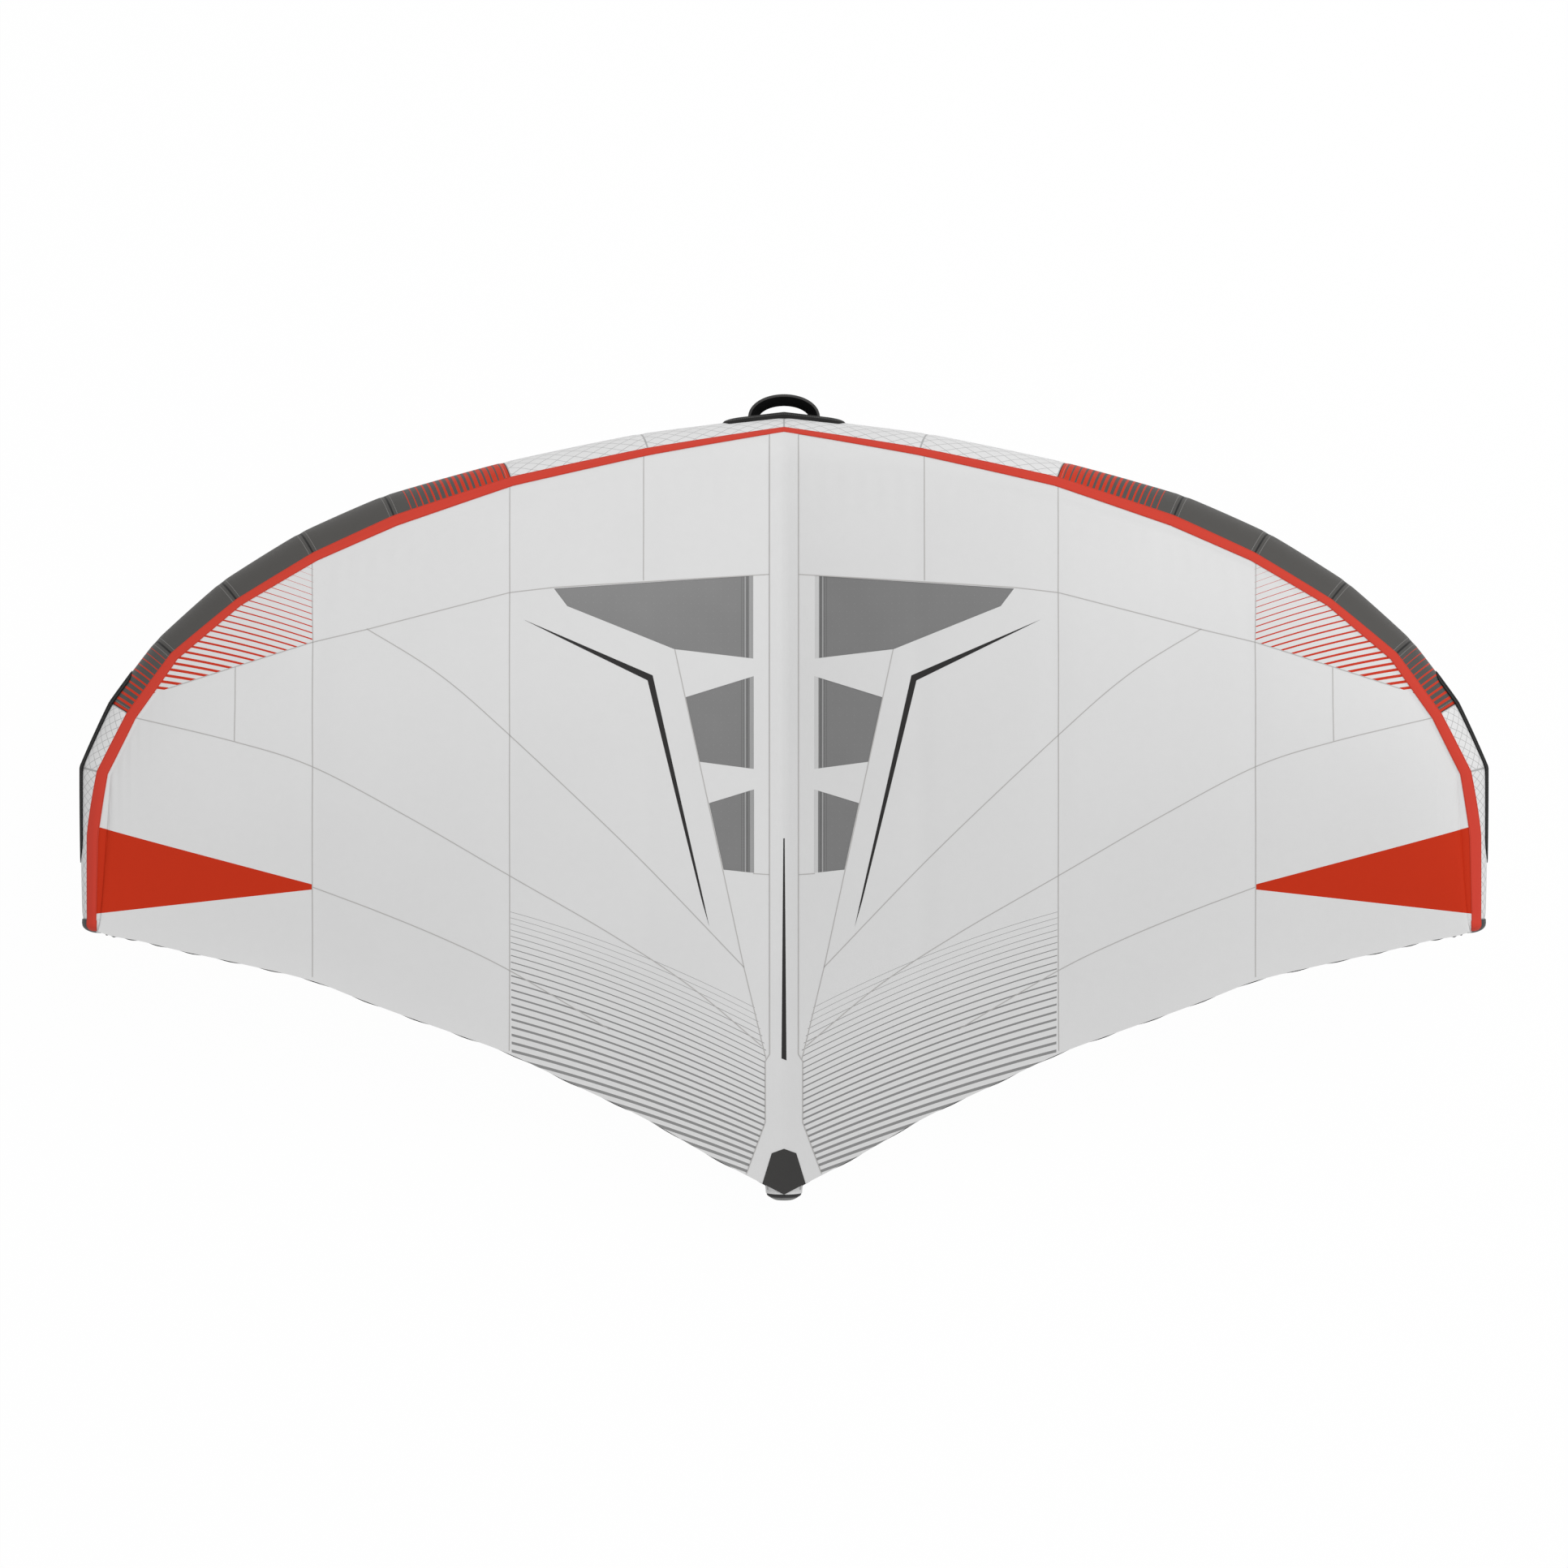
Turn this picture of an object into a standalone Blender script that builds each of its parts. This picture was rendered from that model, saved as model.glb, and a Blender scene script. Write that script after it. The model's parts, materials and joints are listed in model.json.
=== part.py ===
# Inflatable hand wing for wing foiling, canopy up, nose towards +Y, +Z up.
# The origin is the middle of the front hand grip, which is where the wing is held.
import math

import bmesh
import bpy
from mathutils import Matrix, Vector

# Overall sizes, in metres
HALF_SPAN = 1.675  # centre plane to the tube's axis at a tip
CHORD = 1.964  # nose to the canopy's tail, level
TIP_SWEEP_SHARE = 0.57637  # how far a tip's end lies behind the nose tube's axis, as a share of that
TIP_RISE = 0.317  # how far a tip lies above the nose tube's axis
TAIL_DROP = 0.030  # how far the canopy's tail lies below that axis
TIP_CORNER_RISE = 0.044  # how far the canopy's last corner lies above the tip's axis
NOSE_AHEAD = 0.560  # front grip to the nose, level
GRIP_BELOW_NOSE = 0.184  # front grip to the nose tube's axis, upright
NOSE_TUBE_DIAMETER = 0.246

# Cloth and film
CASING_WALL = 0.0012
CLOTH = 0.0008
FILM = 0.0005
BAND_CLOTH = 0.0010
BLADDER_WALL = 0.0006
SEAT_GAP = 0.0003  # pieces that touch on the real wing lie this far apart
BLADDER_PLAY = 0.0008  # casing to bladder
MERGE_DISTANCE = 3e-6
SMOOTH_BELOW_ANGLE = 35.0
DIAGONAL_TIE_SHARE = 1.0001  # diagonals this close in length count as equal

# Leading edge tube
TUBE_SIDES = 20
# For each seam from the middle outwards: across, back, rise and radius, as shares
TUBE_SEAM_SHARES = (
    (0.0, 0.0, 0.0, 1.0),
    (0.205, 0.036, 0.205, 0.959),
    (0.403, 0.097, 0.398, 0.911),
    (0.573, 0.165, 0.55, 0.846),
    (0.689, 0.237, 0.664, 0.776),
    (0.797, 0.333, 0.786, 0.703),
    (0.886, 0.446, 0.887, 0.626),
    (0.95, 0.565, 0.955, 0.553),
    (0.991, 0.685, 0.99, 0.48),
    (1.0, 1.0, 1.0, 0.309),
)
PANEL_NAMES = (
    "light_inner",
    "light_outer",
    "striped_inner",
    "dark_inner",
    "dark_middle",
    "dark_outer",
    "striped_outer",
    "tip_front",
    "tip_rear",
)
TIP_CAP_STRAIGHT = 0.012
TIP_CAP_DOME = 0.020
TIP_CAP_ANGLES = (0.0, 26.0, 51.0, 77.0)

# Angles round the tube at each seam, from its outward side up over the top
BAND_OUTER_ANGLES = (41.0, 51.5, 54.5, 66.0, 72.0, 75.0, 74.0, 80.5, 80.0, 54.0)
BAND_INNER_ANGLES = (48.5, 61.0, 67.0, 79.5, 83.0, 84.0, 86.0, 100.0, 105.5, 99.0)
CANOPY_LEAVE_ANGLES = (87.0, 85.0, 86.0, 91.0, 94.0, 95.0, 97.0, 108.0, 112.0, 107.0)

# Canopy
# For each column: tube seam number, then the trailing edge across and back, and the camber
COLUMN_SHARES = (
    (0.0, 0.0, 1.0, 0.022),
    (0.105, 0.0215, 0.990, 0.024),
    (0.5, 0.105, 0.952, 0.038),
    (1.0, 0.2105, 0.8985, 0.050),
    (1.5, 0.310, 0.856, 0.058),
    (2.0, 0.410, 0.8136, 0.062),
    (2.5, 0.492, 0.786, 0.063),
    (3.0, 0.574, 0.7595, 0.063),
    (3.5, 0.634, 0.739, 0.062),
    (4.0, 0.694, 0.718, 0.060),
    (5.0, 0.795, 0.6955, 0.055),
    (6.0, 0.878, 0.679, 0.048),
    (7.0, 0.936, 0.666, 0.036),
    (8.0, 0.972, 0.660, 0.024),
    (8.5, 0.986, 0.6567, 0.017),
    (9.0, 0.996, 0.6535, 0.010),
)
# Tube seams at which the canopy's inner, middle and tip panels end
PANEL_END_SEAMS = (2.0, 4.0, 9.0)
WRAP_STEPS = 3  # steps of cloth that lie on the tube
CHORD_ROW_SHARES = (0.05, 0.11, 0.19, 0.29, 0.41, 0.53, 0.65, 0.77, 0.88)
TRAILING_RISE_POWER = 1.15
CAMBER_TAPER_POWER = 1.5
HEM_WIDTH = 0.026
HEM_LEAST_SHARE = 0.94
HEM_END_SEAM = 8.5
HEM_PROUD = 0.003  # how far the hem shows behind the canopy
HEM_BEND_SHARE = 0.98  # where the tail patch bends over the hem's front edge
# Windows beside the strut, each outline as shares of half span across and of chord back
WINDOW_OUTLINE_SHARES = (
    ((0.3405, 0.2220), (0.0458, 0.2068), (0.0458, 0.3115), (0.1621, 0.3006), (0.3186, 0.2458)),
    ((0.1460, 0.3612), (0.0450, 0.3338), (0.0450, 0.4514), (0.1249, 0.4424)),
    ((0.1113, 0.4947), (0.0446, 0.4773), (0.0446, 0.5837), (0.0901, 0.5794)),
)
TAIL_PATCH_LENGTH = 0.117
TAIL_PATCH_SHOULDER = 0.104
TAIL_PATCH_HALF_WIDTH = 0.054
TAIL_PATCH_CORNER = 0.006
TAIL_PATCH_FLARE_SHARE = 0.62
TAIL_PATCH_TAPER_SHARE = 0.8

# Strut under the middle of the canopy
STRUT_DIAMETER = 0.206
STRUT_SIDES = 24
# Share of the strut's length, then share of its full diameter
STRUT_DIAMETER_SHARES = (
    (0.0, 0.97),
    (0.2, 1.0),
    (0.55, 0.98),
    (0.75, 0.86),
    (0.88, 0.66),
    (1.0, 0.44),
)
STRUT_FRONT_SHARE = 0.015
STRUT_END_WALL = 0.004
STRUT_END_LENGTH = 0.014
STRUT_END_PROUD = 0.018
STRUT_END_ROUNDING = 0.0255
# Rounding drawn in, then share of the way to the end's flat face
STRUT_END_SHARES = ((0.0, 0.0), (0.17, 0.3), (0.35, 0.52), (0.68, 0.84), (1.0, 1.0))
STRUT_BLADDER_CLEAR = 0.004  # tube's rear to the strut's bladder
# Shares of the strut's length past the bladder's end, then of its radius drawn in
STRUT_BLADDER_SHARES = ((0.0, 0.38), (0.008, 0.1))
STRUT_BLADDER_BACK_SHARE = 0.93

# Tip scuff strips
SCUFF_THICKNESS = 0.0016
SCUFF_ANGLES = (-36.0, -18.0, 0.0, 18.0, 30.0)
SCUFF_SEAMS = (6.5, 7.0, 8.0, 8.63)

# Nose handle and its base
NOSE_BASE_THICKNESS = 0.012
NOSE_BASE_ANGLES = (-36.0, -18.0, 0.0, 12.0, 20.0)
NOSE_BASE_END_SEAM = 0.43
# Share of the way to the base's end, then share of its thickness
NOSE_BASE_SHARES = ((0.0, 1.0), (0.3, 1.0), (0.64, 1.0), (0.85, 0.6), (1.0, 0.14))
NOSE_HANDLE_SPAN = 0.154
NOSE_HANDLE_REACH = 0.0385
NOSE_HANDLE_WIDTH = 0.044
NOSE_HANDLE_THICKNESS = 0.008
NOSE_HANDLE_ROOT_WIDTH = 0.012
NOSE_HANDLE_LEAN = 30.0
NOSE_HANDLE_SEAT_ANGLE = -6.0
NOSE_HANDLE_ROOT_ANGLES = (35.0, 70.0)
NOSE_HANDLE_SWELL_POWER = 0.45
NOSE_HANDLE_STEPS = 16

# Hand grips under the strut
REAR_GRIP_SHARE = 0.31568  # of the chord, from the front grip back to the rear one
REAR_GRIP_BEHIND = REAR_GRIP_SHARE * CHORD
GRIP_LENGTH = 0.150
GRIP_DIAMETER = 0.033
GRIP_BORE_PLAY = 0.0003
GRIP_TUBE_DIAMETER = 0.022
GRIP_SIDES = 16
GRIP_STAND_LENGTH = 0.224  # leg to leg
GRIP_BEND_RADIUS = 0.030
GRIP_BEND_STEPS = 4
# Along the sleeve from its middle as shares of half its length, then share of its diameter
GRIP_SLEEVE_SHARES = ((-1.0, 0.86), (-0.9, 0.94), (-0.3, 1.0), (0.3, 1.0), (0.9, 0.94), (1.0, 0.86))
FOOT_LENGTH = 0.056
FOOT_WIDTH = 0.022
FOOT_THICKNESS = 0.005
PLATFORM_LENGTH = 0.320
PLATFORM_THICKNESS = 0.003

# Valves
VALVE_FLANGE_DIAMETER = 0.046
VALVE_FLANGE_THICKNESS = 0.004
VALVE_BARREL_DIAMETER = 0.032
VALVE_BORE_DIAMETER = 0.026
VALVE_LIP_DIAMETER = 0.021
VALVE_LIP_THICKNESS = 0.003
VALVE_BARREL_LENGTH = 0.024
VALVE_SIDES = 20
CAP_DIAMETER = 0.036
CAP_THICKNESS = 0.003
CAP_PLUG_DIAMETER = 0.0185
CAP_PLUG_LENGTH = 0.0030
CAP_HINGE_DIAMETER = 0.004
CAP_ARM_WIDTH = 0.010
CAP_ARM_THICKNESS = 0.002
CAP_ARM_RAISE = 0.0004
CAP_EDGE_THICKNESS = 0.0018
CAP_EDGE_BEVEL = 0.0014
FLANGE_BEVEL = 0.001
ARM_START_SHARE = 0.8
HINGE_LUG_WIDTH = 0.016
FLAP_DIAMETER = 0.0236
FLAP_THICKNESS = 0.0012
VALVE_LIFT = 0.0005  # room for the slight twist of the cloth's flats under a flange
TUBE_VALVE_SEAM = 0.47  # seam number along the tube
TUBE_VALVE_ANGLE = 243.0
STRUT_VALVE_BEHIND = 0.046  # tube's rear to the middle of the strut's valve
STRUT_VALVE_ANGLE = 240.0

# Zip and leash loop
ZIP_WIDTH = 0.020
ZIP_TAPE_THICKNESS = 0.0012
ZIP_COIL_WIDTH = 0.005
ZIP_COIL_THICKNESS = 0.0015
ZIP_ROW = 8  # the zip lies along the strut between this chord row and the next
ZIP_START_SHARE = 0.06
ZIP_END_SHARE = 0.94
SLIDER_LENGTH = 0.014
SLIDER_WIDTH = 0.010
SLIDER_THICKNESS = 0.003
SLIDER_PULL_LENGTH = 0.030
SLIDER_PULL_WIDTH = 0.007
LOOP_RADIUS = 0.015
LOOP_WIDTH = 0.025
LOOP_THICKNESS = 0.003
LOOP_STEPS = 10

CUT_OVERRUN = 0.02
FULL_TURN = 360.0
UP = Vector((0.0, 0.0, 1.0))


# Small helpers
def table_at(table, x):
    """Reads a table of (place, value) pairs, straight between its rows."""
    for (x0, y0), (x1, y1) in zip(table, table[1:]):
        if x <= x1:
            return y0 + (y1 - y0) * (x - x0) / (x1 - x0)
    return table[-1][1]


def between(values, at):
    """Reads a list at a place between its whole numbers."""
    low = min(int(at), len(values) - 2)
    return values[low] + (values[low + 1] - values[low]) * (at - low)


def on_circle(degrees):
    return math.cos(math.radians(degrees)), math.sin(math.radians(degrees))


def mirrored(point, side):
    return Vector((point.x * side, point.y, point.z))


def clear_scene():
    for obj in list(bpy.data.objects):
        bpy.data.objects.remove(obj, do_unlink=True)
    bpy.context.scene.collection.objects.link(bpy.data.objects.new("wing", None))


def make_material(name, colour, roughness, metallic=0.0, alpha=1.0):
    material = bpy.data.materials.new(name)
    material.use_nodes = True
    shader = material.node_tree.nodes["Principled BSDF"]
    shader.inputs["Base Color"].default_value = (*colour, 1.0)
    shader.inputs["Roughness"].default_value = roughness
    shader.inputs["Metallic"].default_value = metallic
    shader.inputs["Alpha"].default_value = alpha
    return material


def place(name, bm, material, origin=None, helper=False):
    """Makes an object of a closed bmesh, with its own origin where it turns or slides."""
    bmesh.ops.remove_doubles(bm, verts=bm.verts, dist=MERGE_DISTANCE)
    bmesh.ops.recalc_face_normals(bm, faces=bm.faces)
    origin = origin or Vector()
    bmesh.ops.translate(bm, verts=bm.verts, vec=-origin)
    mesh = bpy.data.meshes.new(name)
    bm.to_mesh(mesh)
    bm.free()
    mesh.shade_smooth()
    mesh.set_sharp_from_angle(angle=math.radians(SMOOTH_BELOW_ANGLE))
    obj = bpy.data.objects.new(name, mesh)
    bpy.context.scene.collection.objects.link(obj)
    obj.location = origin
    obj.parent = bpy.data.objects["wing"]
    if helper:
        obj.hide_render = True
        obj.display_type = "WIRE"
    else:
        obj.data.materials.append(material)
    return obj


def boolean(obj, other, operation="DIFFERENCE"):
    step = obj.modifiers.new(operation.lower(), "BOOLEAN")
    step.operation = operation
    step.solver = "EXACT"
    step.object = other


def add_split_quad(bm, a, b, c, d):
    """Two triangles, split at the shorter diagonal so that both skins of a wall split alike."""
    if (a.co - c.co).length <= (b.co - d.co).length * DIAGONAL_TIE_SHARE:
        corners = ((a, b, c), (a, c, d))
    else:
        corners = ((a, b, d), (b, c, d))
    for three in corners:
        bm.faces.new(three)


def bridge_rings(bm, rings, close_ends=True, closed_path=False):
    """Skins a run of equal rings of points, and closes both ends or joins last to first."""
    loops = [[bm.verts.new(point) for point in ring] for ring in rings]
    pairs = list(zip(loops, loops[1:]))
    if closed_path:
        pairs.append((loops[-1], loops[0]))
    for first, second in pairs:
        for i in range(len(first)):
            j = (i + 1) % len(first)
            add_split_quad(bm, first[i], first[j], second[j], second[i])
    if close_ends and not closed_path:
        bm.faces.new(loops[0])
        bm.faces.new(list(reversed(loops[-1])))
    return bm


def sheet_between(upper, lower, mirror_at=0):
    """A closed sheet between two equal grids, whose quads split the other way before a column."""
    bm = bmesh.new()
    rows, columns = len(upper), len(upper[0])
    top = [[bm.verts.new(point) for point in row] for row in upper]
    under = [[bm.verts.new(point) for point in row] for row in lower]
    for grid in (top, under):
        for i in range(rows - 1):
            for j in range(columns - 1):
                a, b, c, d = grid[i][j], grid[i][j + 1], grid[i + 1][j + 1], grid[i + 1][j]
                if j < mirror_at:
                    a, b, c, d = b, a, d, c
                bm.faces.new((a, b, c))
                bm.faces.new((a, c, d))
    rim = [(0, j) for j in range(columns)] + [(i, columns - 1) for i in range(1, rows)]
    rim += [(rows - 1, j) for j in range(columns - 2, -1, -1)] + [(i, 0) for i in range(rows - 2, 0, -1)]
    for (i, j), (k, m) in zip(rim, rim[1:] + rim[:1]):
        bm.faces.new((top[i][j], top[k][m], under[k][m], under[i][j]))
    return bm


def turned(profile, sides, frame):
    """Turns a closed profile of (radius, height) points round the frame's own Z axis."""
    bm = bmesh.new()
    rings = []
    for radius, height in profile:
        ring = []
        for k in range(sides):
            cos, sin = on_circle(FULL_TURN * k / sides)
            ring.append(frame @ Vector((radius * cos, radius * sin, height)))
        rings.append(ring)
    return bridge_rings(bm, rings, closed_path=True)


def turned_solid(profile, sides, frame):
    """The same for an open profile that starts and ends on the axis as flat discs."""
    bm = bmesh.new()
    rings = []
    for radius, height in profile:
        ring = []
        for k in range(sides):
            cos, sin = on_circle(FULL_TURN * k / sides)
            ring.append(frame @ Vector((radius * cos, radius * sin, height)))
        rings.append(ring)
    return bridge_rings(bm, rings)


def block(size, frame):
    """A box of this size about the frame's origin."""
    bm = bmesh.new()
    bmesh.ops.create_cube(bm, size=1.0)
    bmesh.ops.scale(bm, vec=size, verts=bm.verts)
    bmesh.ops.transform(bm, matrix=frame, verts=bm.verts)
    return bm


def frame_of(origin, x_axis, z_axis):
    z_axis = z_axis.normalized()
    x_axis = (x_axis - z_axis * x_axis.dot(z_axis)).normalized()
    y_axis = z_axis.cross(x_axis)
    turn = Matrix((x_axis, y_axis, z_axis)).transposed().to_4x4()
    return Matrix.Translation(origin) @ turn


# Leading edge tube
NOSE_AXIS = Vector((0.0, NOSE_AHEAD - NOSE_TUBE_DIAMETER / 2, GRIP_BELOW_NOSE))


def seam_centre(number):
    across, back, rise, _ = TUBE_SEAM_SHARES[number]
    sweep = back * TIP_SWEEP_SHARE * CHORD
    return NOSE_AXIS + Vector((across * HALF_SPAN, -sweep, rise * TIP_RISE))


def seam_radius(number):
    return TUBE_SEAM_SHARES[number][3] * NOSE_TUBE_DIAMETER / 2


def panel_direction(number):
    return (seam_centre(number + 1) - seam_centre(number)).normalized()


def nose_sweep():
    """How fast the tube falls back beside the nose, per length across."""
    return (NOSE_AXIS.y - seam_centre(1).y) / seam_centre(1).x


def tube_frame(number):
    """Centre, outward and upward sides and radius of the mitred section at a seam."""
    centre, radius = seam_centre(number), seam_radius(number)
    along = panel_direction(min(number, len(TUBE_SEAM_SHARES) - 2))
    before = panel_direction(number - 1) if number else Vector((along.x, -along.y, -along.z))
    mitre = (before + along).normalized()
    upward = (UP - mitre * mitre.z).normalized()
    outward = upward.cross(mitre)
    return centre, outward / mitre.dot(along), upward, radius


def tube_radius(at):
    return between([seam_radius(k) for k in range(len(TUBE_SEAM_SHARES))], at)


def seam_point(number, degrees, lift):
    centre, outward, upward, radius = tube_frame(number)
    cos, sin = on_circle(degrees)
    return centre + (radius + lift) * (outward * cos + upward * sin)


def tube_point(at, degrees, lift=0.0, side=1, shift=0.0):
    """A point on the tube at a seam number, or straight between two seams."""
    low = min(int(at), len(TUBE_SEAM_SHARES) - 2)
    ends = [seam_point(number, degrees, lift) for number in (low, low + 1)]
    panel = low - 1 if shift < 0 and at == low else low
    point = ends[0].lerp(ends[1], at - low) + panel_direction(panel) * shift
    return mirrored(point, side)


def tube_ring(at, lift=0.0, side=1, shift=0.0):
    step = FULL_TURN / TUBE_SIDES
    return [tube_point(at, k * step, lift, side, shift) for k in range(TUBE_SIDES)]


def make_tube_panel(number, side, materials):
    """One sewn panel of the casing, a tapered tube between two mitred seams."""
    half = SEAT_GAP / 2
    rings = [
        tube_ring(number, 0.0, side, half),
        tube_ring(number + 1, 0.0, side, -half),
        tube_ring(number + 1, -CASING_WALL, side, -half),
        tube_ring(number, -CASING_WALL, side, half),
    ]
    bm = bridge_rings(bmesh.new(), rings, closed_path=True)
    label = "right" if side > 0 else "left"
    kind = PANEL_NAMES[number]
    finish = "dark_cloth" if "dark" in kind else "red_cloth" if "striped" in kind else "light_cloth"
    return place(f"tube_{kind}_{label}", bm, materials[finish])


def tip_rings(lift, side, start, length):
    """Rings past the tube's end that round off over a length."""
    last = len(TUBE_SEAM_SHARES) - 1
    rings = []
    for angle in TIP_CAP_ANGLES:
        cos, sin = on_circle(angle)
        shrink = (seam_radius(last) + lift) * (1 - cos)
        rings.append(tube_ring(last, lift - shrink, side, start + length * sin))
    return rings


def make_tip_cap(side, materials):
    last = len(TUBE_SEAM_SHARES) - 1
    rings = [tube_ring(last, 0.0, side, SEAT_GAP)]
    rings += tip_rings(0.0, side, TIP_CAP_STRAIGHT, TIP_CAP_DOME)
    inner = tip_rings(-CASING_WALL, side, TIP_CAP_STRAIGHT - CASING_WALL, TIP_CAP_DOME)
    inner = [tube_ring(last, -CASING_WALL, side, SEAT_GAP)] + inner
    bm = bmesh.new()
    bridge_rings(bm, list(reversed(rings)) + inner, close_ends=True)
    label = "right" if side > 0 else "left"
    return place(f"tip_cap_{label}", bm, materials["dark_cloth"])


def tube_core(lift, side_stop, name, helper, material):
    """A closed body that fills the tube from tip to tip, this far in from its surface."""
    rings = []
    last = len(TUBE_SEAM_SHARES) - 1
    for side in (-1, 1):
        run = [tube_ring(k, lift, side) for k in range(last + 1)]
        run += tip_rings(lift, side, 0.0, side_stop)[1:]
        rings += list(reversed(run)) if side < 0 else run[1:]
    return place(name, bridge_rings(bmesh.new(), rings), material, helper=helper)


def make_tube_bladder(materials):
    lift = -CASING_WALL - BLADDER_PLAY
    outer = tube_core(lift, TIP_CAP_DOME / 2, "tube_bladder", False, materials["bladder"])
    reach = TIP_CAP_DOME / 2 - BLADDER_WALL
    inner = tube_core(lift - BLADDER_WALL, reach, "tube_bladder_air", True, None)
    boolean(outer, inner)
    return outer


# Canopy
def canopy_column(at):
    """Where a column at this seam number meets the trailing edge, and its camber."""
    table = [(row[0], row[1:]) for row in COLUMN_SHARES]
    found = [table_at([(place, row[k]) for place, row in table], at) for k in range(3)]
    across, back, camber = found
    climb = TIP_RISE + TIP_CORNER_RISE + TAIL_DROP
    rise = climb * across**TRAILING_RISE_POWER - TAIL_DROP
    end = Vector((across * HALF_SPAN, NOSE_AHEAD - back * CHORD, GRIP_BELOW_NOSE + rise))
    return end, camber


def wrap_lift(at, step, *edges):
    """How far cloth in flat steps lies off the tube where its corners rest on nothing.

    edges are the angles of the cloth's front and back along the tube, which the flat steps
    also cut across from one column to the next."""
    places = [row[0] for row in COLUMN_SHARES]
    near = min(range(len(places)), key=lambda k: abs(places[k] - at))
    beside = (places[max(near - 1, 0)], places[min(near + 1, len(places) - 1)])
    spread = max(abs(between(edge, x) - between(edge, at)) for edge in edges for x in beside)
    radius = tube_radius(at)
    return (radius + SEAT_GAP) / math.cos(math.radians((step + spread) / 2)) - radius


def canopy_wrap(at, side, thickness):
    """The column's points that lie on the tube, from the band back to where the cloth leaves."""
    start = between(BAND_INNER_ANGLES, at)
    leave = between(CANOPY_LEAVE_ANGLES, at)
    step = (leave - start) / WRAP_STEPS
    lift = wrap_lift(at, step, BAND_INNER_ANGLES, CANOPY_LEAVE_ANGLES)
    gap = math.degrees(SEAT_GAP / tube_radius(at))
    angles = [start + gap, *(start + step * k for k in range(1, WRAP_STEPS + 1))]
    return [tube_point(at, angle, lift + thickness, side) for angle in angles]


def camber_height(share):
    """Height of the camber line, 1 at its crown."""
    crown = 1 / (1 + CAMBER_TAPER_POWER)
    scale = 1 / (crown * (1 - crown) ** CAMBER_TAPER_POWER)
    return scale * share * (1 - share) ** CAMBER_TAPER_POWER


def chord_rows(length):
    return [*CHORD_ROW_SHARES, max(1 - HEM_WIDTH / length, HEM_LEAST_SHARE), 1.0]


def canopy_line(at, side=1, thickness=0.0):
    """Every point of a column, from the band to the trailing edge."""
    points = canopy_wrap(at, side, thickness)
    leave = points[-1]
    end, camber = canopy_column(at)
    end = mirrored(end, side) + UP * thickness
    length = (end - leave).length
    for share in chord_rows(length):
        point = leave.lerp(end, share)
        points.append(point + UP * camber * length * camber_height(share))
    return points


def canopy_grid(columns, side, thickness, trims):
    """Rows of points across some columns, drawn in at the first and last by a seam's gap."""
    lines = [canopy_line(at, side, thickness) for at in columns]
    for which, trim in zip((0, -1), trims):
        inward = lines[1 if which == 0 else -2]
        edge = lines[which]
        if trim:
            lines[which] = [a + (b - a).normalized() * trim for a, b in zip(edge, inward)]
    return [list(row) for row in zip(*lines)]


def cloth_panel(name, columns, side, material, trims=(SEAT_GAP / 2, SEAT_GAP / 2), skin=CLOTH):
    upper = canopy_grid(columns, side, skin, trims)
    lower = canopy_grid(columns, side, 0.0, trims)
    return place(name, sheet_between(upper, lower), material)


def column_seams(low, high):
    return [row[0] for row in COLUMN_SHARES if low <= row[0] <= high]


STRIP_SEAM = COLUMN_SHARES[1][0]


def make_centre_strip(materials):
    """The strip of cloth sewn along the top of the strut, its two halves in one piece."""
    half = SEAT_GAP / 2
    grids = []
    for skin in (CLOTH, 0.0):
        right = canopy_grid([STRIP_SEAM, 0.0], 1, skin, (half, 0))
        left = canopy_grid([0.0, STRIP_SEAM], -1, skin, (0, half))
        grids.append([a + b[1:] for a, b in zip(right, left)])
    sheet = sheet_between(*grids, mirror_at=1)
    return place("canopy_strut_strip", sheet, materials["light_cloth"])


def window_prism(name, outline, side, grow):
    """An upright cutter with a window's outline, grown outwards by a gap."""
    points = [Vector((a * HALF_SPAN * side, NOSE_AHEAD - b * CHORD, 0.0)) for a, b in outline]
    middle = sum(points, Vector()) / len(points)
    low, high = GRIP_BELOW_NOSE - TAIL_DROP, GRIP_BELOW_NOSE + TIP_RISE + NOSE_TUBE_DIAMETER
    rings = []
    for z in (low - CUT_OVERRUN, high + CUT_OVERRUN):
        ring = []
        for k, point in enumerate(points):
            before = (point - points[k - 1]).normalized()
            after = (points[(k + 1) % len(points)] - point).normalized()
            bisector = (before - after).normalized()
            if bisector.dot(point - middle) < 0:
                bisector = -bisector
            sine = abs(before.cross(bisector).z)
            ring.append(point + bisector * grow / sine + UP * z)
        rings.append(ring)
    return place(name, bridge_rings(bmesh.new(), rings), None, helper=True)


def make_canopy(side, materials):
    label = "right" if side > 0 else "left"
    inner_end, middle_end, tip_end = PANEL_END_SEAMS
    inner_columns = column_seams(STRIP_SEAM, inner_end)
    inner = cloth_panel(f"canopy_inner_{label}", inner_columns, side, materials["light_cloth"])
    middle = column_seams(inner_end, middle_end)
    cloth_panel(f"canopy_middle_{label}", middle, side, materials["light_cloth"])
    outer = column_seams(middle_end, tip_end)
    cloth_panel(f"canopy_tip_{label}", outer, side, materials["light_cloth"], (SEAT_GAP / 2, 0))
    for k, outline in enumerate(WINDOW_OUTLINE_SHARES):
        boolean(inner, window_prism(f"window_cut_{k}_{label}", outline, side, 0.0))
        name = f"window_{('front', 'middle', 'rear')[k]}_{label}"
        film = cloth_panel(name, inner_columns, side, materials["film"], skin=FILM)
        film_edge = window_prism(f"film_edge_{k}_{label}", outline, side, -SEAT_GAP)
        boolean(film, film_edge, "INTERSECT")


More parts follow.
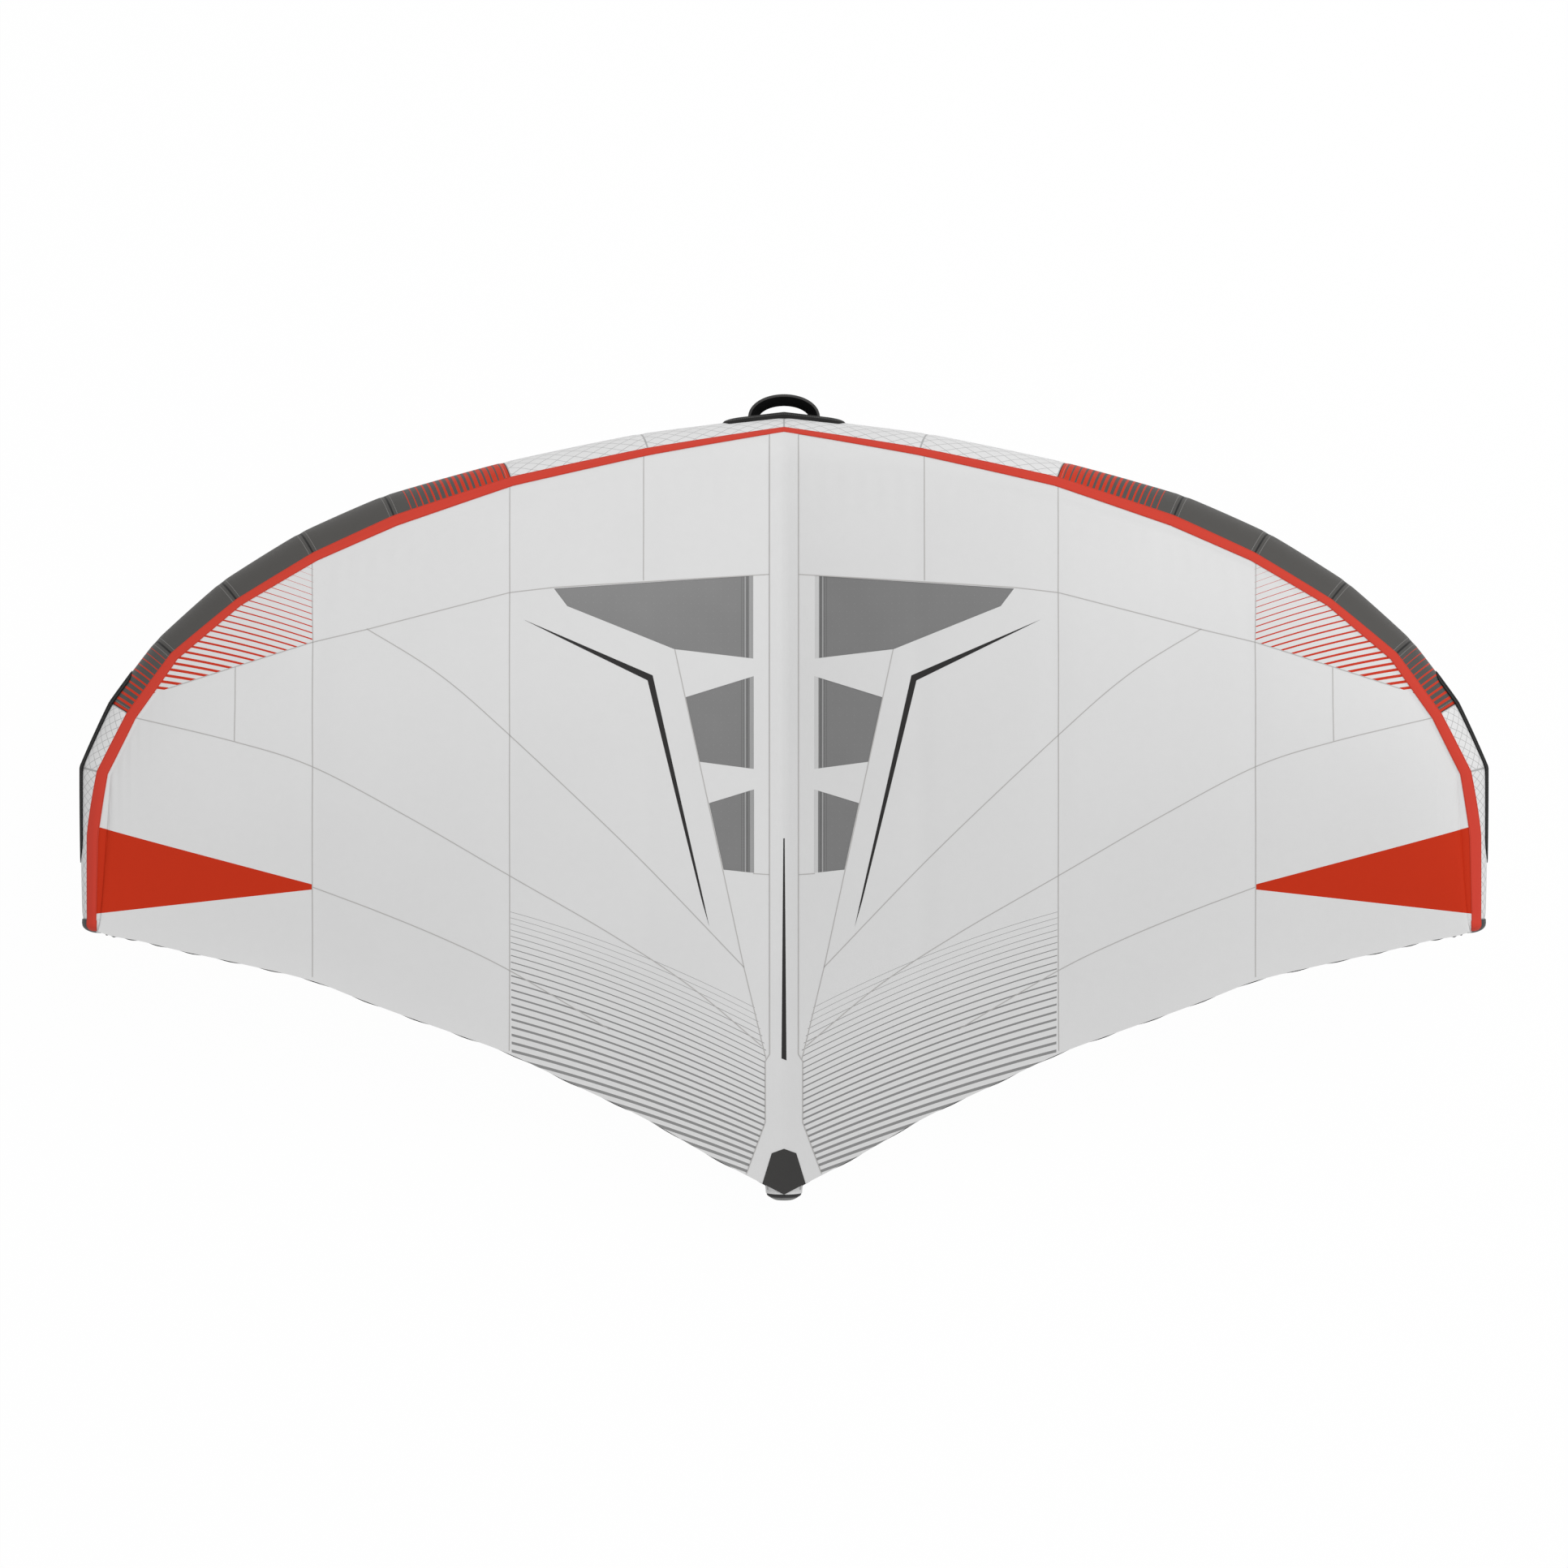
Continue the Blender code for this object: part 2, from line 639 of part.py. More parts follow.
def make_closing_band(materials):
    """The red strip that closes the canopy's front edge onto the tube, from tip to tip."""
    right = [row[0] for row in COLUMN_SHARES]
    places = [(-1, at) for at in reversed(right)] + [(1, at) for at in right[1:]]
    grids = []
    for skin in (BAND_CLOTH, 0.0):
        rows = [[], [], []]
        for side, at in places:
            start, end = between(BAND_OUTER_ANGLES, at), between(BAND_INNER_ANGLES, at)
            middle = (start + end) / 2
            lift = wrap_lift(at, middle - start, BAND_OUTER_ANGLES, BAND_INNER_ANGLES) + skin
            for row, angle in zip(rows, (start, middle, end)):
                row.append(tube_point(at, angle, lift, side))
        grids.append(rows)
    sheet = sheet_between(*grids, mirror_at=len(right) - 1)
    return place("closing_band", sheet, materials["red_cloth"])


def make_hem(side, materials):
    """Webbing under the trailing edge from the strut to the tip, which shows behind the cloth."""
    grids = []
    for drop in (SEAT_GAP, SEAT_GAP + BAND_CLOTH):
        rows = [[], []]
        for at in column_seams(STRIP_SEAM, HEM_END_SEAM):
            front, back = canopy_line(at, side)[-2:]
            proud = (back - front).normalized() * HEM_PROUD
            rows[0].append(front - UP * drop)
            rows[1].append(back + proud - UP * drop)
        grids.append(rows)
    label = "right" if side > 0 else "left"
    return place(f"trailing_hem_{label}", sheet_between(*grids), materials["webbing"])


def strip_point(across, ahead, lift):
    """A point above the canopy near its tail, this far across and ahead of the edge."""
    side = 1 if across >= 0 else -1
    width = abs(across)
    seams = [0.0, STRIP_SEAM, COLUMN_SHARES[2][0]]
    ends = [canopy_column(at)[0].x for at in seams]
    low = 0 if width <= ends[1] else 1
    part = (width - ends[low]) / (ends[low + 1] - ends[low])
    lines = [canopy_line(at, side, CLOTH) for at in seams[low : low + 2]]
    found = []
    for line in lines:
        run = [(line[-1] - point).length for point in line[-3:]]
        low_row = 1 if ahead <= run[1] else 0
        share = (run[low_row] - ahead) / (run[low_row] - run[low_row + 1])
        found.append(line[-3 + low_row].lerp(line[-2 + low_row], share))
    return found[0].lerp(found[1], part) + UP * lift


def make_tail_patch(materials):
    """Reinforcement over the tail, a pentagon in plan."""
    edge = canopy_column(STRIP_SEAM)[0].x
    fronts = (
        (TAIL_PATCH_HALF_WIDTH, TAIL_PATCH_CORNER),
        (edge, TAIL_PATCH_SHOULDER * TAIL_PATCH_FLARE_SHARE),
        (edge * TAIL_PATCH_TAPER_SHARE, TAIL_PATCH_SHOULDER),
        (0.0, TAIL_PATCH_LENGTH),
    )
    places = [(-x, ahead) for x, ahead in fronts] + [(x, a) for x, a in reversed(fronts[:-1])]
    grids = []
    for lift in (SEAT_GAP + BAND_CLOTH, SEAT_GAP):
        rows = [[], [], []]
        for x, ahead in places:
            hem = min(HEM_WIDTH, ahead)
            rows[0].append(strip_point(x, ahead, lift))
            rows[1].append(strip_point(x, hem * HEM_BEND_SHARE, lift))
            rows[2].append(strip_point(x, 0.0, lift))
        grids.append(rows)
    sheet = sheet_between(*grids, mirror_at=len(fronts) - 1)
    return place("tail_patch", sheet, materials["dark_cloth"])


# Strut
def strut_line():
    """The line that the strut hangs under: the canopy's middle, behind the nose tube."""
    return canopy_line(0.0)[WRAP_STEPS:]


def strut_section(share):
    """Centre and radius of the strut at a share of its length, hung under the centre strip."""
    line = strut_line()
    shares = [0.0, *chord_rows((line[-1] - line[0]).length)]
    low = max(k for k in range(len(shares) - 1) if shares[k] <= share)
    part = (share - shares[low]) / (shares[low + 1] - shares[low])
    top = line[low].lerp(line[low + 1], part)
    # The diameter is straight between rows, as the canopy is, so that pieces on it stay flat
    ends = [table_at(STRUT_DIAMETER_SHARES, s) for s in shares[low : low + 2]]
    radius = (ends[0] + (ends[1] - ends[0]) * part) * STRUT_DIAMETER / 2
    apothem = radius * math.cos(math.pi / STRUT_SIDES)
    return top - UP * (SEAT_GAP + apothem), radius


def strut_point(share, degrees, lift=0.0):
    """A point on the strut's polygon; 90 degrees is its top and 270 its underside."""
    centre, radius = strut_section(share)
    cos, sin = on_circle(degrees)
    return centre + Vector((cos, 0.0, sin)) * (radius + lift)


def strut_ring(share, lift=0.0):
    step = FULL_TURN / STRUT_SIDES
    return [strut_point(share, (k + 0.5) * step, lift) for k in range(STRUT_SIDES)]


def strut_rows():
    line = strut_line()
    return [STRUT_FRONT_SHARE, *chord_rows((line[-1] - line[0]).length)]


def make_strut(materials):
    rows = strut_rows()
    outer = [strut_ring(share) for share in rows]
    inner = [strut_ring(share, -CASING_WALL) for share in reversed(rows)]
    bm = bridge_rings(bmesh.new(), outer + inner, closed_path=True)
    casing = place("strut_casing", bm, materials["light_cloth"])
    rings = [tube_ring(1, SEAT_GAP, -1), tube_ring(0, SEAT_GAP), tube_ring(1, SEAT_GAP)]
    nose = place("strut_front_cut", bridge_rings(bmesh.new(), rings), None, helper=True)
    boolean(casing, nose)
    return casing


def make_strut_end(materials):
    """Moulded cup that plugs the strut: a skirt inside the casing and a rounded end."""
    end = strut_rows()[-1]
    centre, radius = strut_section(end)
    line = strut_line()
    front = end - STRUT_END_LENGTH / (line[-1] - line[0]).length
    skirt = -CASING_WALL - SEAT_GAP
    bore = skirt - STRUT_END_WALL

    def end_ring(lift, behind):
        drawn_in = 1 + lift / radius
        shift = Vector((0.0, -behind, 0.0))
        return [centre + (point - centre) * drawn_in + shift for point in strut_ring(end)]

    rings = [
        end_ring(bore, 0.0),
        strut_ring(front, bore),
        strut_ring(front, skirt),
        end_ring(skirt, SEAT_GAP),
    ]
    for rounding, proud in STRUT_END_SHARES:
        behind = SEAT_GAP + (STRUT_END_PROUD - SEAT_GAP) * proud
        rings.append(end_ring(-STRUT_END_ROUNDING * rounding, behind))
    return place("strut_end_cap", bridge_rings(bmesh.new(), rings), materials["rubber"])


def behind_tube(clear):
    """Share of the strut's length that lies this far behind the nose tube."""
    return share_at(NOSE_AXIS.y - NOSE_TUBE_DIAMETER / 2 - clear)


def make_strut_bladder(materials):
    """Air bladder of the strut, drawn in at both ends."""
    lift = -CASING_WALL - BLADDER_PLAY
    sweep = nose_sweep() * STRUT_DIAMETER / 2
    front, back = behind_tube(STRUT_BLADDER_CLEAR + sweep), STRUT_BLADDER_BACK_SHARE
    past = STRUT_BLADDER_SHARES[-1][0]
    inside = [share for share in strut_rows() if front + past < share < back - past]
    found = []
    for wall, name in ((0.0, "strut_bladder"), (BLADDER_WALL, "strut_bladder_air")):
        full, shift = lift - wall, wall / CHORD
        ends = []
        for end, inward in ((front, 1), (back, -1)):
            for along, drawn_in in STRUT_BLADDER_SHARES:
                share = end + inward * (along + shift)
                radius = strut_section(share)[1]
                ends.append(strut_ring(share, full - radius * drawn_in))
        rings = ends[:2] + [strut_ring(share, full) for share in inside] + [ends[3], ends[2]]
        bm = bridge_rings(bmesh.new(), rings)
        found.append(place(name, bm, materials["bladder"], helper=wall > 0))
    boolean(*found)
    return found[0]


# Tip scuff strips
def make_scuff_strip(side, materials):
    grids = []
    for skin in (SCUFF_THICKNESS, 0.0):
        rows = []
        for angle in SCUFF_ANGLES:
            lift = SEAT_GAP + skin
            rows.append([tube_point(at, angle, lift, side) for at in SCUFF_SEAMS])
        grids.append(rows)
    label = "right" if side > 0 else "left"
    return place(f"scuff_strip_{label}", sheet_between(*grids), materials["rubber"])


# Nose handle
def make_nose_base(materials):
    """Padded base sewn over the nose, thick under the handle's roots and thin at its ends."""
    grids = []
    for full in (True, False):
        rows = []
        for angle in NOSE_BASE_ANGLES:
            row = []
            for side, steps in ((-1, reversed(NOSE_BASE_SHARES)), (1, NOSE_BASE_SHARES[1:])):
                for along, thick in steps:
                    lift = SEAT_GAP + (NOSE_BASE_THICKNESS * thick if full else 0.0)
                    row.append(tube_point(along * NOSE_BASE_END_SEAM, angle, lift, side))
            rows.append(row)
        grids.append(rows)
    return place("nose_handle_base", sheet_between(*grids), materials["webbing"])


def nose_handle_seat():
    """Middle of the line between the handle's roots, which is the line it swings on."""
    seam = NOSE_HANDLE_SPAN / 2 / (TUBE_SEAM_SHARES[1][0] * HALF_SPAN)
    slope_play = NOSE_HANDLE_THICKNESS * nose_sweep()
    lift = 2 * SEAT_GAP + NOSE_BASE_THICKNESS + slope_play + NOSE_HANDLE_ROOT_WIDTH / 2
    root = tube_point(seam, NOSE_HANDLE_SEAT_ANGLE, lift)
    return Vector((0.0, root.y, root.z))


def make_nose_handle(materials):
    """Stiffened webbing arch that leans outwards, narrow at its roots and wide at its crown."""
    seat = nose_handle_seat()
    lean_cos, lean_sin = on_circle(NOSE_HANDLE_LEAN)
    path = []
    for k in range(NOSE_HANDLE_STEPS + 1):
        cos, sin = on_circle(180.0 * k / NOSE_HANDLE_STEPS)
        path.append(Vector((cos * NOSE_HANDLE_SPAN / 2, max(sin, 0.0) * NOSE_HANDLE_REACH, 0.0)))
    places = []
    for k, point in enumerate(path):
        run = (path[min(k + 1, NOSE_HANDLE_STEPS)] - path[max(k - 1, 0)]).normalized()
        swell = max(math.sin(math.pi * k / NOSE_HANDLE_STEPS), 0.0) ** NOSE_HANDLE_SWELL_POWER
        width = NOSE_HANDLE_ROOT_WIDTH + (NOSE_HANDLE_WIDTH - NOSE_HANDLE_ROOT_WIDTH) * swell
        places.append((point, Vector((run.y, -run.x, 0.0)), width))
    # Each root ends in a half round about the line that the handle swings on
    ends = [places[0], places[-1]]
    for degrees in NOSE_HANDLE_ROOT_ANGLES:
        cos, sin = on_circle(degrees)
        for point, normal, width in ends:
            end = (point - Vector((0.0, sin * width / 2, 0.0)), normal, cos * width)
            places.insert(0 if point.x > 0 else len(places), end)
    rings = []
    for point, normal, width in places:
        outward = normal * lean_cos - UP * lean_sin
        across = normal * lean_sin + UP * lean_cos
        ring = []
        for out, wide in ((1, 1), (1, -1), (-1, -1), (-1, 1)):
            corner = outward * out * NOSE_HANDLE_THICKNESS / 2 + across * wide * width / 2
            ring.append(seat + point + corner)
        rings.append(ring)
    bm = bridge_rings(bmesh.new(), rings)
    return place("nose_handle", bm, materials["webbing"], origin=seat)


# Hand grips under the strut
def share_at(y):
    """Share of the strut's length at a place along Y."""
    line = strut_line()
    return (line[0].y - y) / (line[0].y - line[-1].y)


def underside(y, lift=0.0):
    share = share_at(y)
    centre, radius = strut_section(share)
    apothem = radius * math.cos(math.pi / STRUT_SIDES)
    return centre - UP * (apothem + lift)


def make_platform(label, y, materials):
    """Moulded saddle on the strut's underside that the hand grip is fixed to."""
    step = FULL_TURN / STRUT_SIDES
    angles = [270.0 + (k + 0.5) * step for k in range(-3, 3)]
    ends = [share_at(y + PLATFORM_LENGTH / 2), share_at(y - PLATFORM_LENGTH / 2)]
    inside = [share for share in strut_rows() if ends[0] < share < ends[1]]
    grids = []
    for skin in (PLATFORM_THICKNESS, 0.0):
        lift = SEAT_GAP + skin
        grids.append(
            [[strut_point(s, a, lift) for s in (ends[0], *inside, ends[1])] for a in angles]
        )
    return place(f"grip_platform_{label}", sheet_between(*grids), materials["moulding"])


def grip_height(y):
    """Each grip hangs as far below its stretch of strut as the front one does."""
    return (underside(y) - underside(0.0)).z


def foot_frame(y):
    """Frame in the middle of a foot that lies on the platform, Z towards the strut."""
    lift = SEAT_GAP + PLATFORM_THICKNESS + SEAT_GAP
    ends = [underside(y + part * FOOT_LENGTH / 2, lift) for part in (1, -1)]
    run = (ends[1] - ends[0]).normalized()
    inward = Vector((1.0, 0.0, 0.0)).cross(run)
    if inward.z < 0:
        inward = -inward
    between_ends = [share for share in strut_rows() if share_at(ends[0].y) < share < share_at(ends[1].y)]
    rows = [strut_point(share, FULL_TURN * 3 / 4) for share in between_ends]
    bow = max([(ends[0] - underside(row.y, lift)).dot(inward) for row in rows] + [0.0])
    middle = (ends[0] + ends[1]) / 2 - inward * (bow + FOOT_THICKNESS / 2)
    return frame_of(middle, run, inward)


def make_grip_stand(label, y, materials):
    """Bent tube with a flat foot at each end, which carries the padded grip."""
    level = grip_height(y)
    half = GRIP_STAND_LENGTH / 2
    feet = [foot_frame(y + half), foot_frame(y - half)]
    tops = [foot.translation for foot in feet]
    bend = GRIP_BEND_RADIUS
    path = [tops[0]]
    for corner, first in ((y + half, True), (y - half, False)):
        inward = -1 if first else 1
        middle = Vector((0.0, corner + inward * bend, level + bend))
        turns = range(GRIP_BEND_STEPS + 1)
        for k in turns if first else reversed(turns):
            cos, sin = on_circle(FULL_TURN / 4 * k / GRIP_BEND_STEPS)
            path.append(middle + Vector((0.0, -inward * cos * bend, -sin * bend)))
    path.append(tops[1])
    rings = []
    for k, point in enumerate(path):
        before, after = path[max(k - 1, 0)], path[min(k + 1, len(path) - 1)]
        along = (after - before).normalized()
        side = Vector((1.0, 0.0, 0.0))
        other = along.cross(side)
        ring = []
        for j in range(GRIP_SIDES):
            cos, sin = on_circle(FULL_TURN * (j + 0.5) / GRIP_SIDES)
            ring.append(point + (side * cos + other * sin) * GRIP_TUBE_DIAMETER / 2)
        rings.append(ring)
    stand = place(f"grip_stand_{label}", bridge_rings(bmesh.new(), rings), materials["alloy"])
    for k, frame in enumerate(feet):
        foot = block((FOOT_LENGTH, FOOT_WIDTH, FOOT_THICKNESS), frame)
        name = f"grip_foot_{k}_{label}"
        boolean(stand, place(name, foot, None, helper=True), "UNION")
    return stand


def make_grip_sleeve(label, y, materials):
    """Padded sleeve on the straight part of the stand, fuller in the middle."""
    level = grip_height(y)
    bore = GRIP_TUBE_DIAMETER / 2 / math.cos(math.pi / GRIP_SIDES) + GRIP_BORE_PLAY
    full, half = GRIP_DIAMETER / 2, GRIP_LENGTH / 2
    run = [(full * wide, half * along) for along, wide in GRIP_SLEEVE_SHARES]
    profile = [(bore, -half), *run, (bore, half)]
    frame = frame_of(Vector((0.0, y, level)), UP, Vector((0.0, 1.0, 0.0)))
    bm = turned(profile, GRIP_SIDES, frame)
    return place(f"grip_sleeve_{label}", bm, materials["foam"])


# Valves
def facet_frame(near, far):
    """Frame in the middle of a flat between two pairs of corners, Z outwards."""
    along = far[0] + far[1] - near[0] - near[1]
    across = near[1] - near[0]
    out = across.cross(along).normalized()
    middle = (near[0] + near[1] + far[0] + far[1]) / 4
    return frame_of(middle + out * VALVE_LIFT, along, out)


def tube_valve_frame():
    step = FULL_TURN / TUBE_SIDES / 2
    reach = VALVE_FLANGE_DIAMETER / 2 / (seam_centre(1) - seam_centre(0)).length
    angles = (TUBE_VALVE_ANGLE - step, TUBE_VALVE_ANGLE + step)
    seams = (TUBE_VALVE_SEAM - reach, TUBE_VALVE_SEAM + reach)
    return facet_frame(*([tube_point(at, angle) for angle in angles] for at in seams))


def strut_valve_frame():
    step = FULL_TURN / STRUT_SIDES / 2
    reach = VALVE_FLANGE_DIAMETER / 2
    angles = (STRUT_VALVE_ANGLE - step, STRUT_VALVE_ANGLE + step)
    shares = [behind_tube(STRUT_VALVE_BEHIND + reach * part) for part in (-1, 1)]
    return facet_frame(*([strut_point(share, angle) for angle in angles] for share in shares))


def hinge_place(frame):
    """The cap's hinge line: its middle, just outside the flange and level with its face."""
    reach = VALVE_FLANGE_DIAMETER / 2 + CAP_HINGE_DIAMETER
    height = SEAT_GAP + VALVE_FLANGE_THICKNESS + SEAT_GAP + CAP_HINGE_DIAMETER / 2
    return frame @ Vector((reach, 0.0, height))


def make_valve(label, frame, materials):
    """Valve body: outside flange, inside lip that the flap closes on, and barrel."""
    flange = VALVE_FLANGE_DIAMETER / 2
    barrel, bore, lip = (d / 2 for d in (VALVE_BARREL_DIAMETER, VALVE_BORE_DIAMETER, VALVE_LIP_DIAMETER))
    top = SEAT_GAP + VALVE_FLANGE_THICKNESS
    profile = [
        (lip, top),
        (flange - FLANGE_BEVEL, top),
        (flange, top - FLANGE_BEVEL),
        (flange, SEAT_GAP),
        (barrel, SEAT_GAP),
        (barrel, top - VALVE_BARREL_LENGTH),
        (bore, top - VALVE_BARREL_LENGTH),
        (bore, top - VALVE_LIP_THICKNESS),
        (lip, top - VALVE_LIP_THICKNESS),
    ]
    body = place(f"valve_body_{label}", turned(profile, VALVE_SIDES, frame), materials["moulding"])
    hinge = frame.inverted() @ hinge_place(frame)
    lug_start = flange * ARM_START_SHARE
    lug_length = hinge.x + CAP_HINGE_DIAMETER / 2 - lug_start
    lug_height = hinge.z - CAP_HINGE_DIAMETER / 2 - SEAT_GAP - SEAT_GAP
    lug_place = Vector((lug_start + lug_length / 2, 0.0, SEAT_GAP + lug_height / 2))
    lug = block((lug_length, HINGE_LUG_WIDTH, lug_height), frame @ Matrix.Translation(lug_place))
    boolean(body, place(f"valve_lug_{label}", lug, None, helper=True), "UNION")
    return body


def make_valve_cap(label, frame, materials):
    """Cap with a plug, an arm and a round hinge end; it swings off the valve."""
    hinge = hinge_place(frame)
    local = frame.inverted() @ hinge
    under = SEAT_GAP + VALVE_FLANGE_THICKNESS + SEAT_GAP
    disc, plug = CAP_DIAMETER / 2, CAP_PLUG_DIAMETER / 2
    profile = [
        (plug, under - CAP_PLUG_LENGTH),
        (plug, under),
        (disc, under),
        (disc, under + CAP_EDGE_THICKNESS),
        (disc - CAP_EDGE_BEVEL, under + CAP_THICKNESS),
    ]
    bm = turned_solid(profile, VALVE_SIDES, frame)
    cap = place(f"valve_cap_{label}", bm, materials["moulding"], origin=hinge)
    arm_start = disc * ARM_START_SHARE
    arm_size = (local.x - arm_start, CAP_ARM_WIDTH, CAP_ARM_THICKNESS)
    arm_place = Vector(((arm_start + local.x) / 2, 0.0, local.z + CAP_ARM_RAISE))
    arm = block(arm_size, frame @ Matrix.Translation(arm_place))
    boolean(cap, place(f"cap_arm_{label}", arm, None, helper=True), "UNION")
    turned_frame = frame.to_3x3()
    turn = frame_of(hinge, turned_frame.col[0], turned_frame.col[1])
    half, radius = CAP_ARM_WIDTH / 2, CAP_HINGE_DIAMETER / 2
    knuckle = turned_solid([(radius, -half), (radius, half)], VALVE_SIDES // 2, turn)
    boolean(cap, place(f"cap_knuckle_{label}", knuckle, None, helper=True), "UNION")
    return cap


def flap_pivot(frame):
    height = VALVE_FLANGE_THICKNESS - VALVE_LIP_THICKNESS - FLAP_THICKNESS
    return frame @ Vector((FLAP_DIAMETER / 2, 0.0, height))


def make_valve_flap(label, frame, materials):
    """Rubber flap that lets air in and closes under the lip."""
    top = VALVE_FLANGE_THICKNESS - VALVE_LIP_THICKNESS
    radius = FLAP_DIAMETER / 2
    bm = turned_solid([(radius, top - FLAP_THICKNESS), (radius, top)], VALVE_SIDES, frame)
    return place(f"valve_flap_{label}", bm, materials["rubber"], origin=flap_pivot(frame))


def cut_for_valve(frame, targets, label):
    """Round hole for the barrel through the casing and the bladder."""
    radius = VALVE_BARREL_DIAMETER / 2 / math.cos(math.pi / VALVE_SIDES) + SEAT_GAP
    depth = CASING_WALL + BLADDER_PLAY + BLADDER_WALL + CUT_OVERRUN
    bm = turned_solid([(radius, -depth), (radius, CUT_OVERRUN)], VALVE_SIDES, frame)
    cutter = place(f"valve_hole_{label}", bm, None, helper=True)
    for target in targets:
        boolean(target, cutter)


# Zip and leash loop
def zip_frame():
    """Frame on the strut's lowest flat: X along the zip towards the tail, Z outwards."""
    rows = [0.0, *strut_rows()[1:]]
    ends = [strut_point(share, FULL_TURN * 3 / 4) for share in rows[ZIP_ROW : ZIP_ROW + 2]]
    flats = [underside(point.y) for point in ends]
    run = flats[1] - flats[0]
    out = Vector((0.0, run.z, -run.y)).normalized()
    if out.z > 0:
        out = -out
    return frame_of(flats[0], run, out), run.length


def make_zip(materials):
    """Zip tape with its coil; the strut's bladder goes in here."""
    frame, length = zip_frame()
    start, end = ZIP_START_SHARE * length, ZIP_END_SHARE * length
    middle = (start + end) / 2
    tape_place = Vector((middle, 0.0, SEAT_GAP + ZIP_TAPE_THICKNESS / 2))
    tape = block((end - start, ZIP_WIDTH, ZIP_TAPE_THICKNESS), frame @ Matrix.Translation(tape_place))
    zip_tape = place("zip_tape", tape, materials["webbing"])
    height = ZIP_TAPE_THICKNESS + ZIP_COIL_THICKNESS
    coil_place = Vector((middle, 0.0, SEAT_GAP + height / 2))
    coil_length = end - start - ZIP_WIDTH / 2
    coil = block((coil_length, ZIP_COIL_WIDTH, height), frame @ Matrix.Translation(coil_place))
    boolean(zip_tape, place("zip_coil", coil, None, helper=True), "UNION")
    return zip_tape


def make_slider(materials):
    """Slider that straddles the coil, closed at the tail end, with its pull lying flat."""
    frame, length = zip_frame()
    at = ZIP_END_SHARE * length - ZIP_WIDTH / 4 - SLIDER_LENGTH
    low = SEAT_GAP + ZIP_TAPE_THICKNESS + SEAT_GAP
    coil_top = SEAT_GAP + ZIP_TAPE_THICKNESS + ZIP_COIL_THICKNESS + SEAT_GAP
    top = low + SLIDER_THICKNESS
    centre = frame @ Vector((at, 0.0, low + SLIDER_THICKNESS / 2))
    size = (SLIDER_LENGTH, SLIDER_WIDTH, SLIDER_THICKNESS)
    body = block(size, frame @ Matrix.Translation(Vector((at, 0.0, (low + top) / 2))))
    slider = place("zip_slider", body, materials["moulding"], origin=centre)
    slot_size = (SLIDER_LENGTH * 2, ZIP_COIL_WIDTH + 2 * SEAT_GAP, 2 * (coil_top - low))
    slot = block(slot_size, frame @ Matrix.Translation(Vector((at, 0.0, low))))
    boolean(slider, place("zip_slider_slot", slot, None, helper=True))
    pull_size = (SLIDER_PULL_LENGTH, SLIDER_PULL_WIDTH, SLIDER_THICKNESS / 2)
    pull_place = Vector((at - SLIDER_PULL_LENGTH / 2 + SLIDER_LENGTH / 4, 0.0, top))
    pull = block(pull_size, frame @ Matrix.Translation(pull_place))
    boolean(slider, place("zip_pull", pull, None, helper=True), "UNION")
    return slider


def make_leash_loop(materials):
    """Webbing loop under the nose for a wrist leash, its legs reaching up to the tube."""
    base = NOSE_AXIS - UP * (NOSE_TUBE_DIAMETER / 2 + SEAT_GAP)
    along, down = Vector((1.0, 0.0, 0.0)), -UP
    beside = seam_point(1, FULL_TURN * 3 / 4, 0.0)
    climb = (beside.z - base.z) / beside.x * (LOOP_RADIUS - LOOP_THICKNESS) - SEAT_GAP
    middles = []
    for k in range(LOOP_STEPS + 1):
        turn_cos, turn_sin = on_circle(FULL_TURN / 2 * k / LOOP_STEPS)
        middles.append((Vector(), along * turn_cos + down * turn_sin))
    middles = [(UP * climb, along), *middles, (UP * climb, -along)]
    rings = []
    for shift, direction in middles:
        ring = []
        for far, wide in ((1, 1), (1, -1), (-1, -1), (-1, 1)):
            radius = LOOP_RADIUS + far * LOOP_THICKNESS / 2
            corner = base + shift + direction * radius
            ring.append(corner + Vector((0.0, wide * LOOP_WIDTH / 2, 0.0)))
        rings.append(ring)
    return place("leash_loop", bridge_rings(bmesh.new(), rings), materials["webbing"])


def make_materials():
    return {
        "light_cloth": make_material("light_cloth", (0.68, 0.68, 0.67), 0.6),
        "dark_cloth": make_material("dark_cloth", (0.10, 0.10, 0.10), 0.7),
        "red_cloth": make_material("red_cloth", (0.60, 0.05, 0.02), 0.6),
        "film": make_material("film", (0.22, 0.22, 0.22), 0.2, alpha=0.6),
        "bladder": make_material("bladder", (0.75, 0.76, 0.72), 0.35),
        "webbing": make_material("webbing", (0.03, 0.03, 0.03), 0.85),
        "rubber": make_material("rubber", (0.02, 0.02, 0.02), 0.7),
        "moulding": make_material("moulding", (0.03, 0.03, 0.035), 0.45),
        "foam": make_material("foam", (0.04, 0.04, 0.04), 0.9),
        "alloy": make_material("alloy", (0.05, 0.05, 0.05), 0.35, metallic=0.8),
    }


